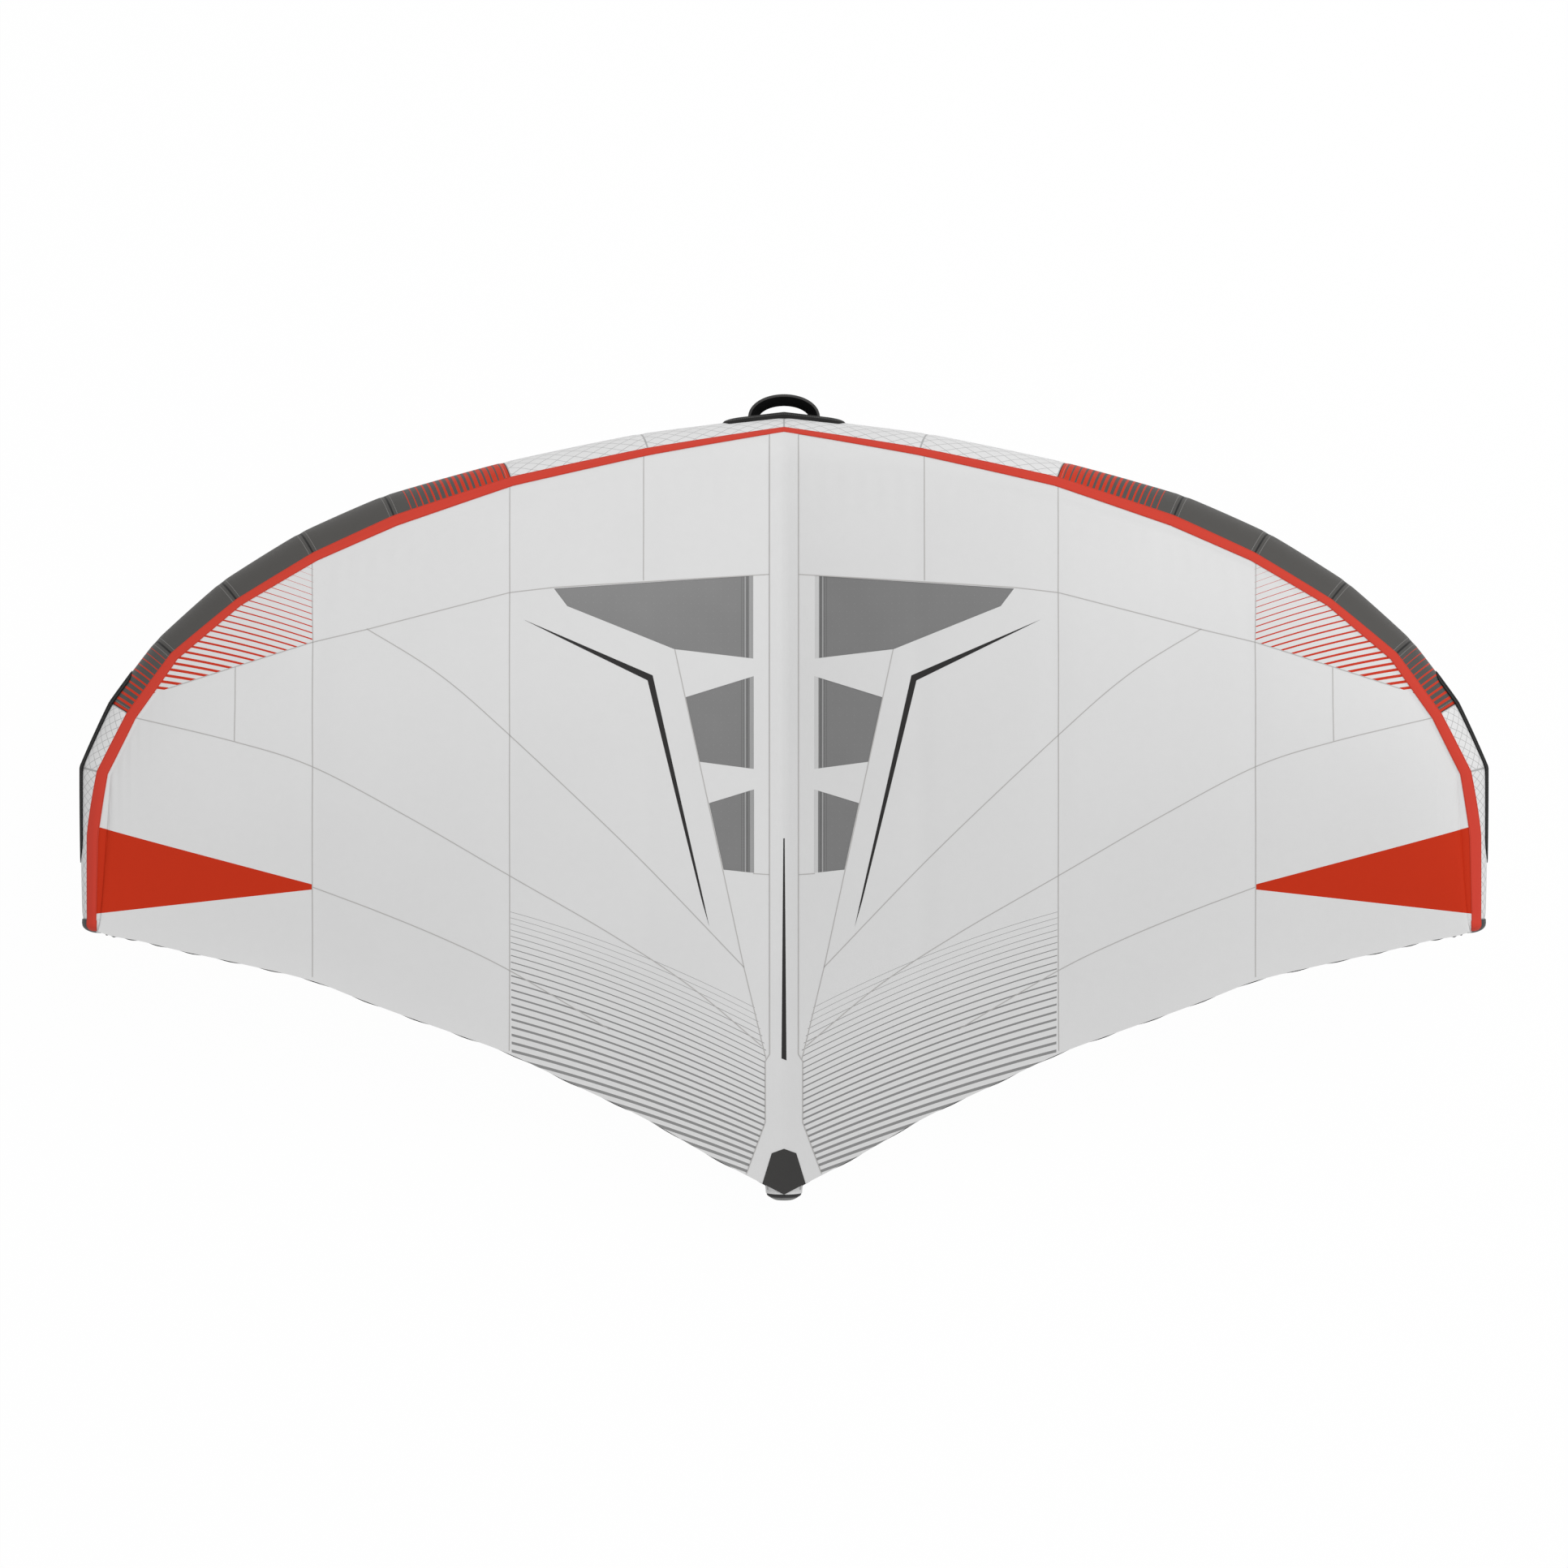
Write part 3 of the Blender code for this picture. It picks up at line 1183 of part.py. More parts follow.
def main():
    clear_scene()
    materials = make_materials()
    panels = {}
    for side in (-1, 1):
        for number in range(len(PANEL_NAMES)):
            panels[side, number] = make_tube_panel(number, side, materials)
        make_tip_cap(side, materials)
        make_canopy(side, materials)
        make_hem(side, materials)
        make_scuff_strip(side, materials)
    tube_bladder = make_tube_bladder(materials)
    make_centre_strip(materials)
    make_closing_band(materials)
    make_tail_patch(materials)
    strut = make_strut(materials)
    strut_bladder = make_strut_bladder(materials)
    make_strut_end(materials)
    make_nose_base(materials)
    make_nose_handle(materials)
    for label, y in (("front", 0.0), ("rear", -REAR_GRIP_BEHIND)):
        make_platform(label, y, materials)
        make_grip_stand(label, y, materials)
        make_grip_sleeve(label, y, materials)
    valves = (
        ("tube", tube_valve_frame(), (panels[1, 0], tube_bladder)),
        ("strut", strut_valve_frame(), (strut, strut_bladder)),
    )
    for label, frame, walls in valves:
        make_valve(label, frame, materials)
        make_valve_cap(label, frame, materials)
        make_valve_flap(label, frame, materials)
        cut_for_valve(frame, walls, label)
    make_zip(materials)
    make_slider(materials)
    make_leash_loop(materials)


main()
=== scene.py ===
import json
import math

import bmesh
import bpy
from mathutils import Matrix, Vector
from mathutils.bvhtree import BVHTree

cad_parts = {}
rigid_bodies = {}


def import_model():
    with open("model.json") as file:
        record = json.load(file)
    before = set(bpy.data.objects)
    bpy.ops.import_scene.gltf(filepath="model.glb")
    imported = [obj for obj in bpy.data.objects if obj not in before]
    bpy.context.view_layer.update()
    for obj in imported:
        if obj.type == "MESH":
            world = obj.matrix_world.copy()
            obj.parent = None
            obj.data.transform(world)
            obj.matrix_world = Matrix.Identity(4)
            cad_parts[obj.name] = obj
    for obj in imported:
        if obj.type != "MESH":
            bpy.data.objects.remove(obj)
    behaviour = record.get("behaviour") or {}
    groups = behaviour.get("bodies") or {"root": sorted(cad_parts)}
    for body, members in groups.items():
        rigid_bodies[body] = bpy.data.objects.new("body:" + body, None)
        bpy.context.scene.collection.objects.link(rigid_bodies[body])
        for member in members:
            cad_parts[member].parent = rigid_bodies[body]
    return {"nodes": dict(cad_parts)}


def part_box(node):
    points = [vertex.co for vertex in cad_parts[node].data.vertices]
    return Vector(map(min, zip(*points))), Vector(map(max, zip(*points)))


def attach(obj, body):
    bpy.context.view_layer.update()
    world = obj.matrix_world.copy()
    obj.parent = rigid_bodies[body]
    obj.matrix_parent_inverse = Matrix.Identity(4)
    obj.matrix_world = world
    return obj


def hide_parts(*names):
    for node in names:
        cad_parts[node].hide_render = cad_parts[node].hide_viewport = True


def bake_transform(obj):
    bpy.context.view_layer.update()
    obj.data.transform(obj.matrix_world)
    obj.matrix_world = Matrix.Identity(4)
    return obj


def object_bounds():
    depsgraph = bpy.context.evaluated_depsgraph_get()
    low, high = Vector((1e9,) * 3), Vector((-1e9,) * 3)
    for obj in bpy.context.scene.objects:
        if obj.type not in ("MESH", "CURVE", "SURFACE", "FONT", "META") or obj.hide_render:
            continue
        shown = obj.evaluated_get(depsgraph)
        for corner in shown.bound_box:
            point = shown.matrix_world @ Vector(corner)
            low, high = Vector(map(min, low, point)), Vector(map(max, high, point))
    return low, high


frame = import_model()
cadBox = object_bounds()
cadNodes = frame["nodes"]
bpy.ops.object.select_all(action="DESELECT")
up = Vector((0.0, 0.0, 1.0))

# The wing's own sizes in metres, the same as in its source
wing = dict(halfSpan=1.675, chord=1.964, tipSweep=1.132, tipRise=0.317, tailDrop=0.030,
            cornerRise=0.044, noseAhead=0.560, gripBelowNose=0.184, noseDiameter=0.246)
seamTable = (  # across, back, rise and radius at each seam of the tube, as shares
    (0.0, 0.0, 0.0, 1.0), (0.205, 0.036, 0.205, 0.959), (0.403, 0.097, 0.398, 0.911),
    (0.573, 0.165, 0.55, 0.846), (0.689, 0.237, 0.664, 0.776), (0.797, 0.333, 0.786, 0.703),
    (0.886, 0.446, 0.887, 0.626), (0.95, 0.565, 0.955, 0.553), (0.991, 0.685, 0.99, 0.48),
    (1.0, 1.0, 1.0, 0.309),
)
bandOuter = (43.0, 51.9, 54.5, 66.0, 72.0, 75.0, 74.0, 80.5, 80.0, 54.0)  # degrees round the tube
bandInner = (51.8, 63.6, 68.9, 81.8, 86.0, 88.0, 90.6, 101.7, 105.6, 92.0)
canopyLeave = (87.0, 85.0, 86.0, 91.0, 94.0, 95.0, 97.0, 108.0, 112.0, 107.0)
columnTable = (  # seam, then the trailing edge across and back, and the camber
    (0.0, 0.0, 1.0, 0.022), (0.5, 0.105, 0.952, 0.038), (1.0, 0.2105, 0.8985, 0.050),
    (1.5, 0.310, 0.856, 0.058), (2.0, 0.410, 0.8136, 0.062), (2.5, 0.492, 0.786, 0.063),
    (3.0, 0.574, 0.7595, 0.063), (3.5, 0.634, 0.739, 0.062), (4.0, 0.694, 0.718, 0.060),
    (5.0, 0.795, 0.6955, 0.055), (6.0, 0.878, 0.679, 0.048), (7.0, 0.936, 0.666, 0.036),
    (8.0, 0.972, 0.660, 0.024), (8.5, 0.986, 0.6567, 0.017), (9.0, 0.996, 0.6535, 0.010),
)
noseAxis = Vector((0.0, wing["noseAhead"] - wing["noseDiameter"] / 2, wing["gripBelowNose"]))
sideNames = {-1: "left", 1: "right"}
windowNames = ("front", "middle", "rear")
sharpEdge = 40  # degrees past which an edge stays sharp


# Shapes shared by the cloth pieces
def onCircle(degrees):
    return math.cos(math.radians(degrees)), math.sin(math.radians(degrees))


def between(values, at):
    low = min(int(at), len(values) - 2)
    return values[low] + (values[low + 1] - values[low]) * (at - low)


def alongTable(table, at):  # straight between the rows
    for (a, b), (c, d) in zip(table, table[1:]):
        if at <= c:
            return b + (d - b) * (at - a) / (c - a)
    return table[-1][1]


def smoothTable(table, at, column):  # a cubic through the rows
    rows = [(row[0], row[column]) for row in table]
    low = max(k for k in range(len(rows) - 1) if rows[k][0] <= at)

    def slope(k):
        a, b = rows[max(k - 1, 0)], rows[min(k + 1, len(rows) - 1)]
        return (b[1] - a[1]) / (b[0] - a[0])

    (x0, y0), (x1, y1) = rows[low], rows[low + 1]
    run = x1 - x0
    t = (at - x0) / run
    return (y0 * (2 * t**3 - 3 * t**2 + 1) + y1 * (3 * t**2 - 2 * t**3)
            + slope(low) * run * (t**3 - 2 * t**2 + t) + slope(low + 1) * run * (t**3 - t**2))


def seamCentre(number):
    across, back, rise, _ = seamTable[number]
    return noseAxis + Vector((across * wing["halfSpan"], -back * wing["tipSweep"], rise * wing["tipRise"]))


def seamRadius(number):
    return seamTable[number][3] * wing["noseDiameter"] / 2


def panelRun(number):
    return seamCentre(number + 1) - seamCentre(number)


def seamPoint(number, degrees, lift):  # on the mitred section between two panels
    along = panelRun(min(number, 8)).normalized()
    before = panelRun(number - 1).normalized() if number else Vector((along.x, -along.y, -along.z))
    mitre = (before + along).normalized()
    upward = (up - mitre * mitre.z).normalized()
    outward = upward.cross(mitre) / mitre.dot(along)
    cos, sin = onCircle(degrees)
    return seamCentre(number) + (seamRadius(number) + lift) * (outward * cos + upward * sin)


def toSide(point, side):
    return Vector((point.x * side, point.y, point.z))


def tubePoint(at, degrees, lift=0.0, side=1):
    low = min(int(at), 8)
    point = seamPoint(low, degrees, lift).lerp(seamPoint(low + 1, degrees, lift), at - low)
    return toSide(point, side)


def tubeRadius(at):
    return between([seamRadius(k) for k in range(10)], at)


bandBend = dict(most=8.43, outer=14.6, inner=10.5)  # where on the tube, and degrees there


def bandEdges(at):  # degrees of the closing band's two edges, which bend in over the last panel
    bend = max(min((at - 8.0) / (bandBend["most"] - 8.0), (9.0 - at) / (9.0 - bandBend["most"])), 0.0)
    outer, inner = between(bandOuter, at), between(bandInner, at)
    return outer - bandBend["outer"] * bend, inner - bandBend["inner"] * bend


def seamRun(at):  # metres along the tube from the nose
    low = min(int(at), 8)
    return sum(panelRun(k).length for k in range(low)) + (at - low) * panelRun(low).length


def swell(at):  # the cloth bulges between two seams
    part = at - min(int(at), 8)
    return 0.0014 * math.sin(math.pi * part) ** 0.7 if 0 < part < 1 else 0.0


def smoothSides(mesh, sharp=sharpEdge):
    mesh.shade_smooth()
    mesh.set_sharp_from_angle(angle=math.radians(sharp))


def newPiece(name, bm, materials, body="wing", sharp=sharpEdge):
    mesh = bpy.data.meshes.new(name)
    bm.to_mesh(mesh)
    bm.free()
    piece = bpy.data.objects.new(name, mesh)
    bpy.context.scene.collection.objects.link(piece)
    for material in materials:
        mesh.materials.append(material)
    smoothSides(mesh, sharp)
    if body:
        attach(piece, body)
    return piece


def applyModifiers(piece):
    bpy.context.view_layer.objects.active = piece
    for modifier in list(piece.modifiers):
        bpy.ops.object.modifier_apply(modifier=modifier.name)
    smoothSides(piece.data)


def giveThickness(piece, thickness):
    step = piece.modifiers.new("cloth", "SOLIDIFY")
    step.thickness, step.offset, step.use_even_offset = thickness, -1.0, False
    applyModifiers(piece)


def gridMesh(rows, layers=None, wrap=False, flip=False):  # faces between rows of points
    bm = bmesh.new()
    verts = [[bm.verts.new(point) for point in row] for row in rows]
    maps = {name: bm.loops.layers.uv.new(name) for name in layers or {}}
    wide = len(rows[0])
    for i in range(len(rows) - 1):
        for j in range(wide if wrap else wide - 1):
            k = (j + 1) % wide
            corners = [(i, j, j), (i, k, j + 1), (i + 1, k, j + 1), (i + 1, j, j)]
            if flip:
                corners.reverse()
            face = bm.faces.new([verts[a][b] for a, b, _ in corners])
            for loop, (a, _, c) in zip(face.loops, corners):
                for name, layer in maps.items():
                    loop[layer].uv = layers[name](a, c)
    return bm


def closeEnds(bm, wide):  # a face over the first row and over the last
    bm.verts.ensure_lookup_table()
    bm.faces.new(bm.verts[:wide])
    bm.faces.new(list(reversed(bm.verts[-wide:])))
    bmesh.ops.recalc_face_normals(bm, faces=bm.faces)


# Shader helpers
def addNode(tree, kind, inputs=None, **settings):
    made = tree.nodes.new(kind)
    for key, value in settings.items():
        setattr(made, key, value)
    pairs = inputs.items() if isinstance(inputs, dict) else enumerate(inputs or ())
    for key, value in pairs:
        if isinstance(value, bpy.types.NodeSocket):
            tree.links.new(value, made.inputs[key])
        elif value is not None:
            made.inputs[key].default_value = value
    return made


def calc(tree, operation, *inputs):
    return addNode(tree, "ShaderNodeMath", inputs, operation=operation).outputs[0]


def axes(tree, place):
    return addNode(tree, "ShaderNodeSeparateXYZ", [place]).outputs


def ranged(tree, value, *limits):  # from a low and a high to another low and high
    return addNode(tree, "ShaderNodeMapRange", [value, *limits]).outputs[0]


def noise(tree, place, scale, detail):
    made = addNode(tree, "ShaderNodeTexNoise", {"Vector": place, "Scale": scale, "Detail": detail})
    return made.outputs["Fac"]


def clothMap(tree, name="Cloth"):
    return addNode(tree, "ShaderNodeUVMap", uv_map=name).outputs[0]


def objectPlace(tree):
    return addNode(tree, "ShaderNodeTexCoord").outputs["Object"]


def bumpInto(tree, shader, height, strength, distance):
    bump = addNode(tree, "ShaderNodeBump", {"Strength": strength, "Distance": distance, "Height": height})
    tree.links.new(bump.outputs[0], shader.inputs["Normal"])


def offMiddle(tree, value):  # 0 in the middle between two whole numbers, 0.5 on them
    return calc(tree, "ABSOLUTE", calc(tree, "SUBTRACT", calc(tree, "FRACT", value), 0.5))


def newGroup(name, inputs, outputs):
    group = bpy.data.node_groups.new(name, "ShaderNodeTree")
    for labels, way in ((inputs, "INPUT"), (outputs, "OUTPUT")):
        for label in labels:
            kind = "NodeSocketVector" if label == "Vector" else "NodeSocketFloat"
            group.interface.new_socket(label, in_out=way, socket_type=kind)
    return group, group.nodes.new("NodeGroupInput").outputs, group.nodes.new("NodeGroupOutput").inputs


weaving = dict(rib=0.09, threadHeight=0.35, cloudy=(2.3, 4.0, 0.7), mottled=(46.0, 3.0, 0.3))


def makeWeaveGroup():  # over and under threads with a ripstop grid
    group, given, out = newGroup("wovenCloth", ("Vector", "Threads", "Ripstop"), ("Height", "Shade"))
    place = axes(group, given["Vector"])
    waves, ribs = [], []
    for axis in ("X", "Y"):
        turns = calc(group, "MULTIPLY", place[axis], given["Threads"])
        waves.append(calc(group, "SINE", calc(group, "MULTIPLY", turns, math.tau)))
        share = calc(group, "FRACT", calc(group, "DIVIDE", place[axis], given["Ripstop"]))
        ribs.append(calc(group, "LESS_THAN", share, weaving["rib"]))
    weave = calc(group, "MULTIPLY", calc(group, "MULTIPLY", *waves), weaving["threadHeight"])
    height = calc(group, "ADD", weave, calc(group, "MAXIMUM", *ribs))
    shades = []
    for scale, detail, amount in (weaving["cloudy"], weaving["mottled"]):
        shades.append(calc(group, "MULTIPLY", noise(group, given["Vector"], scale, detail), amount))
    group.links.new(height, out["Height"])
    group.links.new(calc(group, "ADD", *shades), out["Shade"])
    return group


def makeStripeGroup():  # one stripe to each whole number of Place, as wide as Share
    group, given, out = newGroup("printedStripes", ("Place", "Share"), ("Mask",))
    half = calc(group, "MULTIPLY", given["Share"], 0.5)
    group.links.new(calc(group, "LESS_THAN", offMiddle(group, given["Place"]), half), out["Mask"])
    return group


def makeDiamondGroup():  # two slanted sets of printed lines that sway a little
    group, given, out = newGroup("diamondPrint", ("Vector", "Long", "Wide", "Line"), ("Mask",))
    place = axes(group, given["Vector"])
    wobble = noise(group, given["Vector"], 14.0, 1.0)
    sway = calc(group, "MULTIPLY", calc(group, "SUBTRACT", wobble, 0.5), 0.35)
    a = calc(group, "ADD", calc(group, "DIVIDE", place["X"], given["Long"]), sway)
    b = calc(group, "DIVIDE", place["Y"], given["Wide"])
    lines = []
    for operation in ("ADD", "SUBTRACT"):
        lines.append(calc(group, "LESS_THAN", offMiddle(group, calc(group, operation, a, b)), given["Line"]))
    group.links.new(calc(group, "MAXIMUM", *lines), out["Mask"])
    return group


def makeStitchGroup():  # dashes of thread along a line, Offset away from an edge
    group, given, out = newGroup("threadLine", ("Distance", "Along", "Offset", "Thread", "Pitch"), ("Mask",))
    off = calc(group, "ABSOLUTE", calc(group, "SUBTRACT", given["Distance"], given["Offset"]))
    near = calc(group, "LESS_THAN", off, given["Thread"])
    share = calc(group, "FRACT", calc(group, "DIVIDE", given["Along"], given["Pitch"]))
    dash = calc(group, "LESS_THAN", share, 0.72)
    group.links.new(calc(group, "MULTIPLY", near, dash), out["Mask"])
    return group


weaveGroup, stripeGroup = makeWeaveGroup(), makeStripeGroup()
diamondGroup, stitchGroup = makeDiamondGroup(), makeStitchGroup()


def useGroup(tree, group, inputs):
    return addNode(tree, "ShaderNodeGroup", inputs, node_tree=group).outputs


def weaveOn(tree, place, threads=1400.0, ripstop=0.005):
    return useGroup(tree, weaveGroup, {"Vector": place, "Threads": threads, "Ripstop": ripstop})


def stripesOn(tree, place, share):
    return useGroup(tree, stripeGroup, {"Place": place, "Share": share})["Mask"]


def stitchesOn(tree, distance, along, offset, thread, pitch):
    given = {"Distance": distance, "Along": along, "Offset": offset, "Thread": thread, "Pitch": pitch}
    return useGroup(tree, stitchGroup, given)["Mask"]


def newMaterial(name, roughness, **sockets):
    material = bpy.data.materials.new(name)
    material.use_nodes = True
    shader = material.node_tree.nodes["Principled BSDF"]
    shader.inputs["Roughness"].default_value = roughness
    for label, value in sockets.items():
        shader.inputs[label.replace("_", " ")].default_value = value
    return material, material.node_tree, shader


def clothMaterial(name, roughness, sheen, gloss):
    return newMaterial(name, roughness, Sheen_Weight=sheen, Sheen_Roughness=0.5, Specular_IOR_Level=gloss)


def mixed(tree, factor, a, b):
    inks = [ink if isinstance(ink, bpy.types.NodeSocket) else (*ink, 1.0) for ink in (a, b)]
    return addNode(tree, "ShaderNodeMix", {0: factor, 6: inks[0], 7: inks[1]}, data_type="RGBA").outputs[2]


def finishCloth(tree, shader, base, weave, fade, strength, extra=None):
    # a little lighter and darker over the cloth, and the threads as bump
    shade = ranged(tree, weave["Shade"], 0.3, 0.7, 1.0 - fade, 1.0 + fade)
    tone = addNode(tree, "ShaderNodeVectorMath", [base, shade], operation="MULTIPLY").outputs[0]
    tree.links.new(tone, shader.inputs["Base Color"])
    height = weave["Height"] if extra is None else calc(tree, "ADD", weave["Height"], extra)
    bumpInto(tree, shader, height, strength, 0.0004)


def plainCloth(name, ink, roughness, threads=1400.0, ripstop=0.005, uvMap=None, strength=0.3,
               sheen=0.1, gloss=0.4):
    material, tree, shader = clothMaterial(name, roughness, sheen, gloss)
    weave = weaveOn(tree, clothMap(tree, uvMap) if uvMap else objectPlace(tree), threads, ripstop)
    base = mixed(tree, calc(tree, "MULTIPLY", weave["Height"], 0.06), ink, [c * 0.8 for c in ink])
    finishCloth(tree, shader, base, weave, 0.02, strength)
    return material


tint = dict(light=(0.69, 0.69, 0.69), tubeLight=(0.73, 0.73, 0.73), red=(0.54, 0.030, 0.007),
            bandRed=(0.60, 0.052, 0.032), dark=(0.074, 0.071, 0.067), printGrey=(0.24, 0.24, 0.24),
            diamond=(0.43, 0.43, 0.43), printDark=(0.020, 0.019, 0.019), seam=(0.46, 0.45, 0.44),
            thread=(0.55, 0.54, 0.53), webbing=(0.022, 0.022, 0.023), film=(0.18, 0.18, 0.18),
            cap=(0.03, 0.03, 0.031), darkRib=(0.07, 0.068, 0.066), paleJoint=(0.40, 0.40, 0.40),
            darkJoint=(0.012, 0.012, 0.012))
stripeWidths = dict(  # a first and a last stripe, then how much of the pitch each one fills
    light=(2.0, 25.0, 0.07, 0.43), striped=(0.0, 20.0, 0.42, 0.035))


def makeCanopyMaterials():
    made = {}
    for kind, gloss, ink in (("light", 0.4, "printGrey"), ("striped", 0.2, "red")):
        material, tree, shader = clothMaterial(f"canopyCloth_{kind}", 0.62, 0.06, gloss)
        weave = weaveOn(tree, objectPlace(tree))
        count = axes(tree, clothMap(tree, "Print"))
        share = ranged(tree, count["X"], *stripeWidths[kind])
        if kind == "light":  # grey stripes, between the seam and the strut only
            mask = stripesOn(tree, calc(tree, "ADD", count["X"], 0.5), share)
            inside = calc(tree, "MULTIPLY", calc(tree, "GREATER_THAN", count["X"], -0.5), count["Y"])
            mask = calc(tree, "MULTIPLY", mask, inside)
        else:
            mask = stripesOn(tree, count["X"], share)
        finishCloth(tree, shader, mixed(tree, mask, tint["light"], tint[ink]), weave, 0.018, 0.22)
        made[kind] = material
    made["red"] = plainCloth("canopyCloth_red", tint["red"], 0.6, sheen=0.0, gloss=0.1)
    return made


tubeDiamonds = dict(light=(0.046, 0.028, 0.034), tip=(0.022, 0.022, 0.045))  # long, wide and line
tubeStripes = dict(  # as shares of a panel's length; the dark begins past edge and is whole past solid
    stripedInner=dict(first=0.0248, pitch=0.0514, widths=(0.05, 0.82, 0.20, 0.85), past="GREATER_THAN",
                      edge=0.0248, solid=0.851),
    stripedOuter=dict(first=0.0326, pitch=0.0857, widths=(0.08, 0.95, 0.93, 0.55), past="LESS_THAN",
                      edge=0.955, solid=0.06),
)
jointLook = dict(near=0.0012, far=0.0034, stitches=(0.0100, 0.0006, 0.0042), thread=0.35)


def makeTubeMaterials():
    made = {}
    for kind in ("light", "tip", "dark", "stripedInner", "stripedOuter"):
        pale = kind in tubeDiamonds
        sheen, gloss = (0.1, 0.4) if pale else (0.03, 0.22)
        material, tree, shader = clothMaterial(f"tubeCloth_{kind}", 0.58, sheen, gloss)
        cloth = clothMap(tree)
        fromSeam = axes(tree, clothMap(tree, "Edge"))
        weave = weaveOn(tree, cloth, 1100.0, 0.0065)
        nearest = calc(tree, "MINIMUM", fromSeam["X"], fromSeam["Y"])
        part = calc(tree, "DIVIDE", fromSeam["X"], calc(tree, "ADD", fromSeam["X"], fromSeam["Y"]))
        if pale:
            given = dict(zip(("Vector", "Long", "Wide", "Line"), (cloth, *tubeDiamonds[kind])))
            mask = useGroup(tree, diamondGroup, given)["Mask"]
            base = mixed(tree, mask, tint["tubeLight"], tint["diamond"])
        elif kind == "dark":
            ribs = calc(tree, "MULTIPLY", weave["Height"], 0.05)
            base = mixed(tree, ribs, tint["dark"], tint["darkRib"])
        else:
            look = tubeStripes[kind]
            place = calc(tree, "DIVIDE", calc(tree, "SUBTRACT", part, look["first"]), look["pitch"])
            mask = stripesOn(tree, place, ranged(tree, part, *look["widths"]))
            begun, whole = (calc(tree, look["past"], part, look[key]) for key in ("edge", "solid"))
            mask = calc(tree, "MAXIMUM", calc(tree, "MULTIPLY", mask, begun), whole)
            base = mixed(tree, mask, tint["red"], tint["dark"])
        seamLine = ranged(tree, nearest, jointLook["near"], jointLook["far"], 1.0, 0.0)
        base = mixed(tree, seamLine, base, tint["paleJoint" if pale else "darkJoint"])
        stitches = stitchesOn(tree, nearest, axes(tree, cloth)["Y"], *jointLook["stitches"])
        if not pale:
            base = mixed(tree, calc(tree, "MULTIPLY", stitches, jointLook["thread"]), base, tint["thread"])
        finishCloth(tree, shader, base, weave, 0.03, 0.30, extra=calc(tree, "MULTIPLY", stitches, 1.2))
        made[kind] = material
    return made


def ribbonMaterial(name, base, thread, roughness=0.6, rows=(0.3, 0.7), pitch=0.004, threads=900.0, gloss=0.3,
                   sheen=0.03):
    # cloth tape with rows of stitches along it; the map runs along in metres and across from 0 to 1
    material, tree, shader = clothMaterial(name, roughness, sheen, gloss)
    place = clothMap(tree)
    at = axes(tree, place)
    weave = weaveOn(tree, place, threads, 0.004)
    stitches, *others = [stitchesOn(tree, at["Y"], at["X"], row, 0.022, pitch) for row in rows]
    for mask in others:
        stitches = calc(tree, "MAXIMUM", stitches, mask)
    finishCloth(tree, shader, mixed(tree, stitches, base, thread), weave, 0.03, 0.3,
                extra=calc(tree, "MULTIPLY", stitches, 1.5))
    return material


canopyCloth, tubeCloth = makeCanopyMaterials(), makeTubeMaterials()
bandCloth = ribbonMaterial("bandCloth", tint["bandRed"], (0.42, 0.030, 0.012), rows=(0.06, 0.94), gloss=0.12)
seamTape = ribbonMaterial("seamTape", tint["seam"], (0.5, 0.49, 0.48), rows=(0.28, 0.72))
hemWebbing = ribbonMaterial("hemWebbing", tint["webbing"], (0.1, 0.1, 0.1), rows=(0.12, 0.88))
darkPrint = plainCloth("darkPrint", tint["printDark"], 0.6, sheen=0.0, gloss=0.2)
patchCloth = plainCloth("patchCloth", (0.037, 0.036, 0.035), 0.7, threads=500.0, ripstop=0.004, strength=0.6,
                        sheen=0.03, gloss=0.3)
capTongue = dict(middle=0.0664, half=0.0082, length=0.046)  # canopy cloth that laps onto the cap


def makeCapCloth():
    material, tree, shader = clothMaterial("capCloth", 0.6, 0.1, 0.4)
    place = clothMap(tree)
    at = axes(tree, place)
    beside = calc(tree, "COMPARE", at["Y"], capTongue["middle"], capTongue["half"])
    tongue = calc(tree, "MULTIPLY", beside, calc(tree, "LESS_THAN", at["X"], capTongue["length"]))
    base = mixed(tree, tongue, tint["cap"], tint["light"])
    finishCloth(tree, shader, base, weaveOn(tree, place), 0.02, 0.3)
    return material


capCloth = makeCapCloth()
stripCloth = plainCloth("stripCloth", tint["light"], 0.62)
strutCloth = plainCloth("strutCloth", tint["tubeLight"], 0.6, uvMap="Cloth")
filmLook = dict(
    dotPitch=0.0184, dotSize=0.075, lineAmount=0.8,
    lines=(  # how far from the strut, then the thread, its pitch and its tone
        (0.0915, 0.0007, 50.0, 0.05), (0.0965, 0.0009, 50.0, 0.52),
        (0.1010, 0.0006, 0.0042, 0.06), (0.1060, 0.0006, 0.0042, 0.08)),
)


